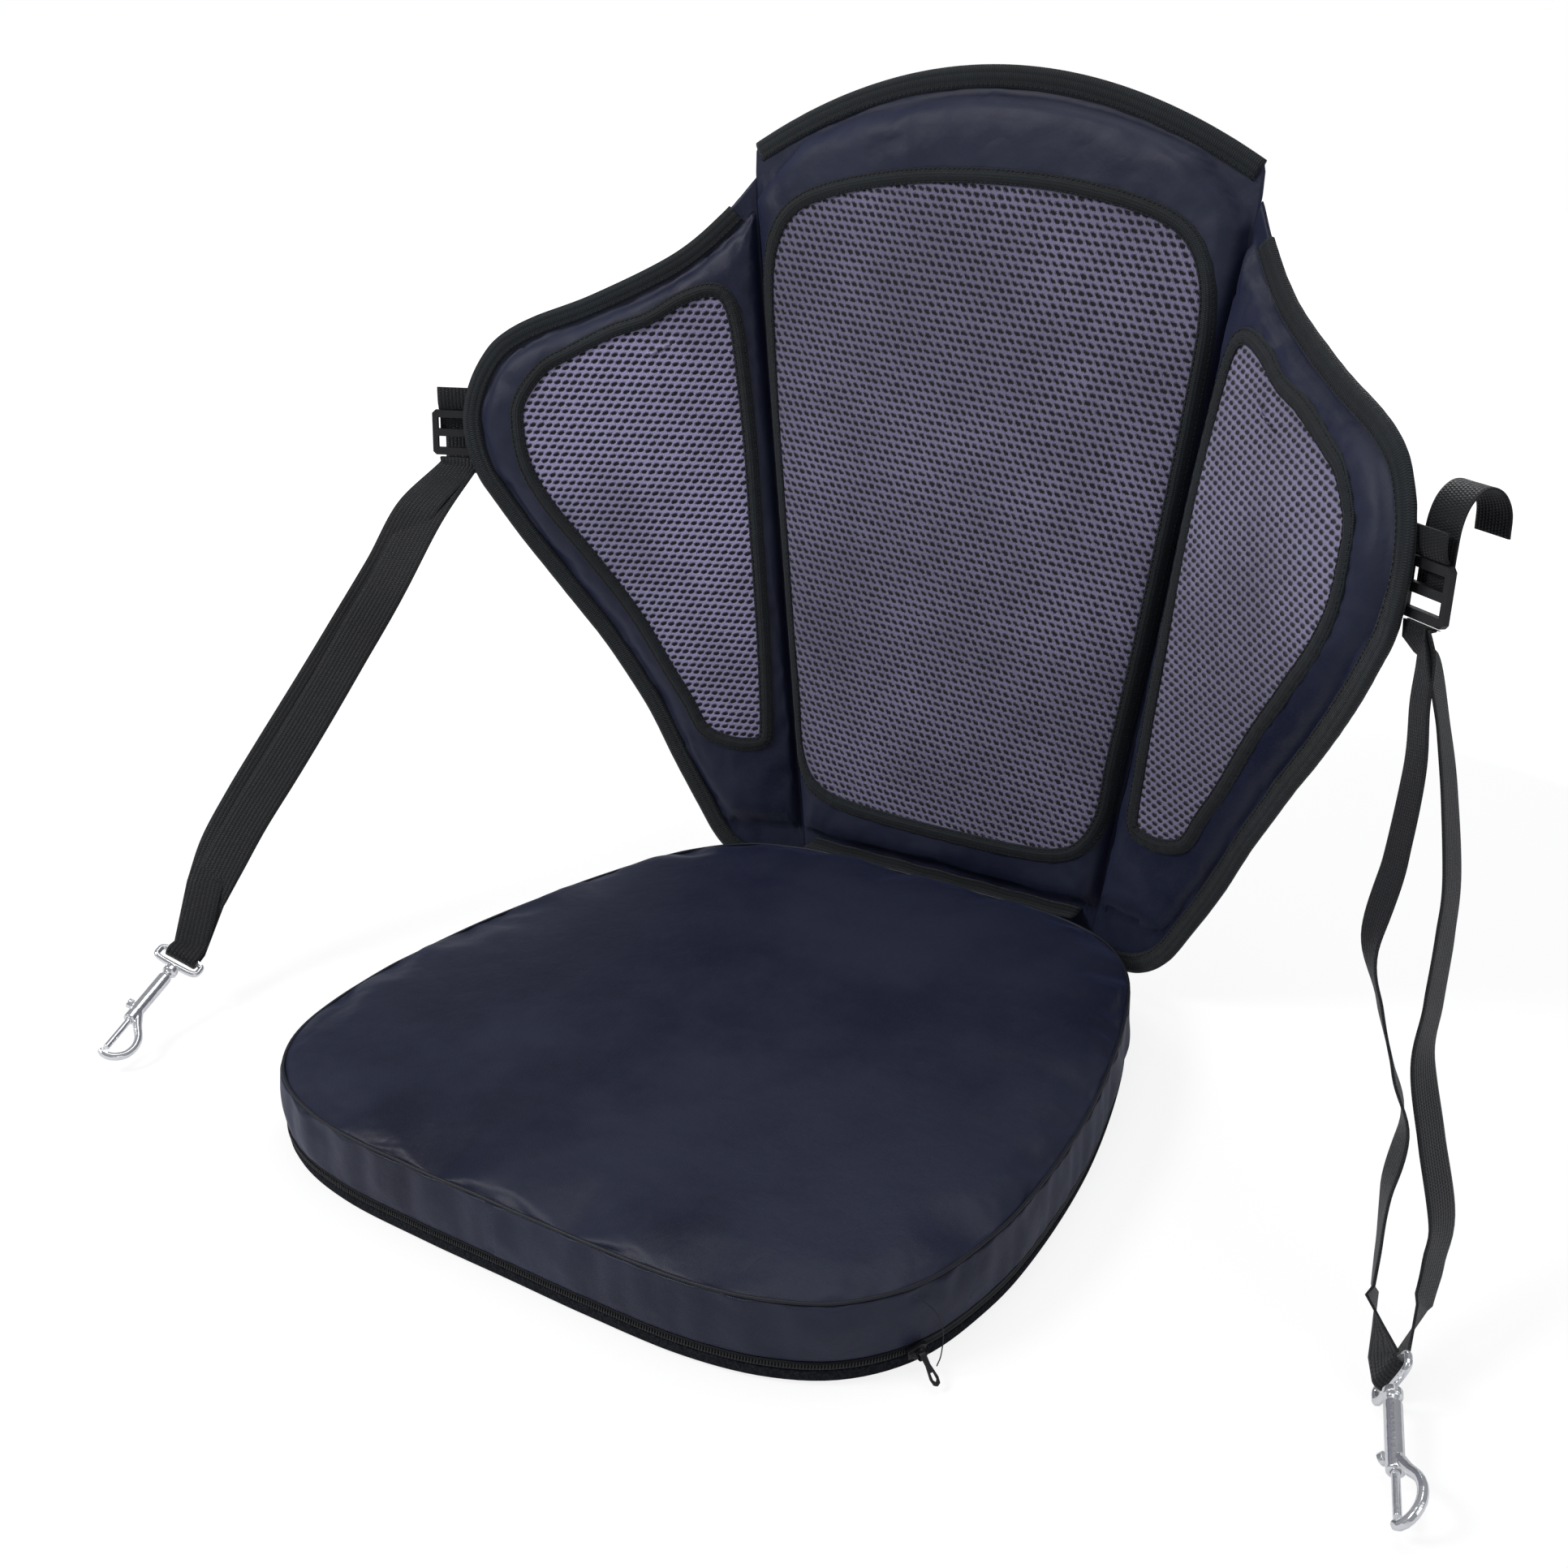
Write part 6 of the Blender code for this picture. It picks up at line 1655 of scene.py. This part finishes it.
class SEAT_OT_hooks(bpy.types.Operator):
    """Finish the snap hooks: swivel eye, body and spring bolt"""
    bl_idname = "kayak_seat.hooks"
    bl_label = "Snap hooks"

    def execute(self, context):
        for tag in ("left", "right"):
            carry(refine_cad(f"swivel_eye_{tag}", f"hook_eye_{tag}", 0.00030, 8), "seat", "metal",
                  f"hook_eye_{tag}")
            carry(refine_cad(f"snap_body_{tag}", f"hook_body_{tag}", 0.00028, 8), f"hook_{tag}", "metal",
                  f"hook_body_{tag}")
            carry(refine_cad(f"snap_bolt_{tag}", f"hook_bolt_{tag}", 0.00024, 5), f"bolt_{tag}", "metal",
                  f"hook_bolt_{tag}")
        return {"FINISHED"}


class SEAT_OT_stage(bpy.types.Operator):
    """Set up the floor, the lights, the background and the camera"""
    bl_idname = "kayak_seat.stage"
    bl_label = "Stage"

    def execute(self, context):
        scene = context.scene
        build_floor()
        lamp("key", (-1.1, -1.5, 1.9), (0, 0, 0.15), 0.8, 28)
        lamp("fill", (1.9, -0.9, 1.2), (0.1, 0, 0.15), 1.2, 4)
        lamp("top", (0.1, 0.3, 2.3), (0, 0, 0.1), 1.6, 11)
        lamp("rim", (-0.7, 1.8, 1.3), (0, 0, 0.2), 1.0, 9)
        build_world(scene)
        data = bpy.data.cameras.new("camera")
        data.lens = CAM_LENS
        data.sensor_width = 36.0
        camera = bpy.data.objects.new("camera", data)
        axes = Matrix((CAM_RIGHT, CAM_UP, CAM_BACK)).transposed()
        camera.matrix_world = Matrix.Translation(CAM_PLACE) @ axes.to_4x4()
        scene.collection.objects.link(camera)
        scene.camera = camera
        scene.view_settings.view_transform = "Standard"
        return {"FINISHED"}


def build_floor():
    bm = bmesh.new()
    under = Matrix.Translation((0, 0, -FLOOR_UNDER))
    bmesh.ops.create_grid(bm, x_segments=2, y_segments=2, size=FLOOR_HALF, matrix=under)
    mesh = bpy.data.meshes.new("floor")
    bm.to_mesh(mesh)
    bm.free()
    ob = bpy.data.objects.new("floor", mesh)
    bpy.context.scene.collection.objects.link(ob)
    mat, tree, shader = new_finish("floor")
    shader.inputs["Base Color"].default_value = (0.86, 0.86, 0.87, 1)
    shader.inputs["Roughness"].default_value = 0.9
    glow = tree.nodes.new("ShaderNodeEmission")
    glow.inputs["Strength"].default_value = FLOOR_GLOW
    mix = tree.nodes.new("ShaderNodeMixShader")
    far = tree.nodes.new("ShaderNodeVectorMath")
    far.operation = "LENGTH"
    tree.links.new(position(tree), far.inputs[0])
    fade = ramp(tree, far.outputs["Value"], *FLOOR_FADE)
    tree.links.new(math_node(tree, "MAXIMUM", fade, FLOOR_GLOW_SHARE), mix.inputs[0])
    tree.links.new(shader.outputs[0], mix.inputs[1])
    tree.links.new(glow.outputs[0], mix.inputs[2])
    plain = tree.nodes.new("ShaderNodeMixShader")
    path = tree.nodes.new("ShaderNodeLightPath")
    seen = math_node(tree, "MAXIMUM", path.outputs["Is Camera Ray"], path.outputs["Is Transmission Ray"])
    tree.links.new(seen, plain.inputs[0])
    tree.links.new(shader.outputs[0], plain.inputs[1])
    tree.links.new(mix.outputs[0], plain.inputs[2])
    sink = tree.nodes["Material Output"]
    tree.links.new(plain.outputs[0], sink.inputs["Surface"])
    mesh.materials.append(mat)


def lamp(name, place, target, size, power):
    data = bpy.data.lights.new(name, "AREA")
    data.shape = "DISK"
    data.size = size
    data.energy = power
    ob = bpy.data.objects.new(name, data)
    ob.location = place
    ob.rotation_euler = (Vector(target) - Vector(place)).to_track_quat("-Z", "Y").to_euler()
    bpy.context.scene.collection.objects.link(ob)


def build_world(scene):
    world = bpy.data.worlds.new("studio")
    world.use_nodes = True
    tree = world.node_tree
    sky = tree.nodes["Background"]
    sky.inputs["Color"].default_value = (0.80, 0.83, 0.90, 1)
    sky.inputs["Strength"].default_value = SKY_STRENGTH
    white = tree.nodes.new("ShaderNodeBackground")
    white.inputs["Color"].default_value = (1, 1, 1, 1)
    white.inputs["Strength"].default_value = 1.0
    path = tree.nodes.new("ShaderNodeLightPath")
    seen = math_node(tree, "MAXIMUM", path.outputs["Is Camera Ray"], path.outputs["Is Transmission Ray"])
    mix = tree.nodes.new("ShaderNodeMixShader")
    tree.links.new(seen, mix.inputs[0])
    tree.links.new(sky.outputs[0], mix.inputs[1])
    tree.links.new(white.outputs[0], mix.inputs[2])
    tree.links.new(mix.outputs[0], tree.nodes["World Output"].inputs["Surface"])
    scene.world = world


class SEAT_PT_panel(bpy.types.Panel):
    """Lists the steps that dress the seat"""
    bl_idname = "SEAT_PT_panel"
    bl_label = "Kayak Seat"
    bl_space_type = "VIEW_3D"
    bl_region_type = "UI"
    bl_category = "Kayak Seat"

    def draw(self, context):
        for group in (context.scene.kayak_seat_cloth, context.scene.kayak_seat_fittings):
            for name in group.__annotations__:
                self.layout.prop(group, name)
        for step in STEPS:
            self.layout.operator(step.bl_idname)


STEPS = (SEAT_OT_cushion, SEAT_OT_zip, SEAT_OT_back, SEAT_OT_binding, SEAT_OT_stitches, SEAT_OT_straps,
         SEAT_OT_hooks, SEAT_OT_stage)
CLASSES = (KayakSeatCloth, KayakSeatFittings) + STEPS + (SEAT_PT_panel,)


def register():
    for item in CLASSES:
        bpy.utils.register_class(item)
    bpy.types.Scene.kayak_seat_cloth = bpy.props.PointerProperty(type=KayakSeatCloth)
    bpy.types.Scene.kayak_seat_fittings = bpy.props.PointerProperty(type=KayakSeatFittings)


def unregister():
    del bpy.types.Scene.kayak_seat_fittings
    del bpy.types.Scene.kayak_seat_cloth
    for item in reversed(CLASSES):
        bpy.utils.unregister_class(item)


def main():
    register()
    bpy.ops.kayak_seat.stage()
    bpy.ops.kayak_seat.straps()
    bpy.ops.kayak_seat.cushion()
    bpy.ops.kayak_seat.zip()
    bpy.ops.kayak_seat.back()
    bpy.ops.kayak_seat.binding()
    bpy.ops.kayak_seat.stitches()
    bpy.ops.kayak_seat.hooks()


if __name__ == "__main__":
    main()
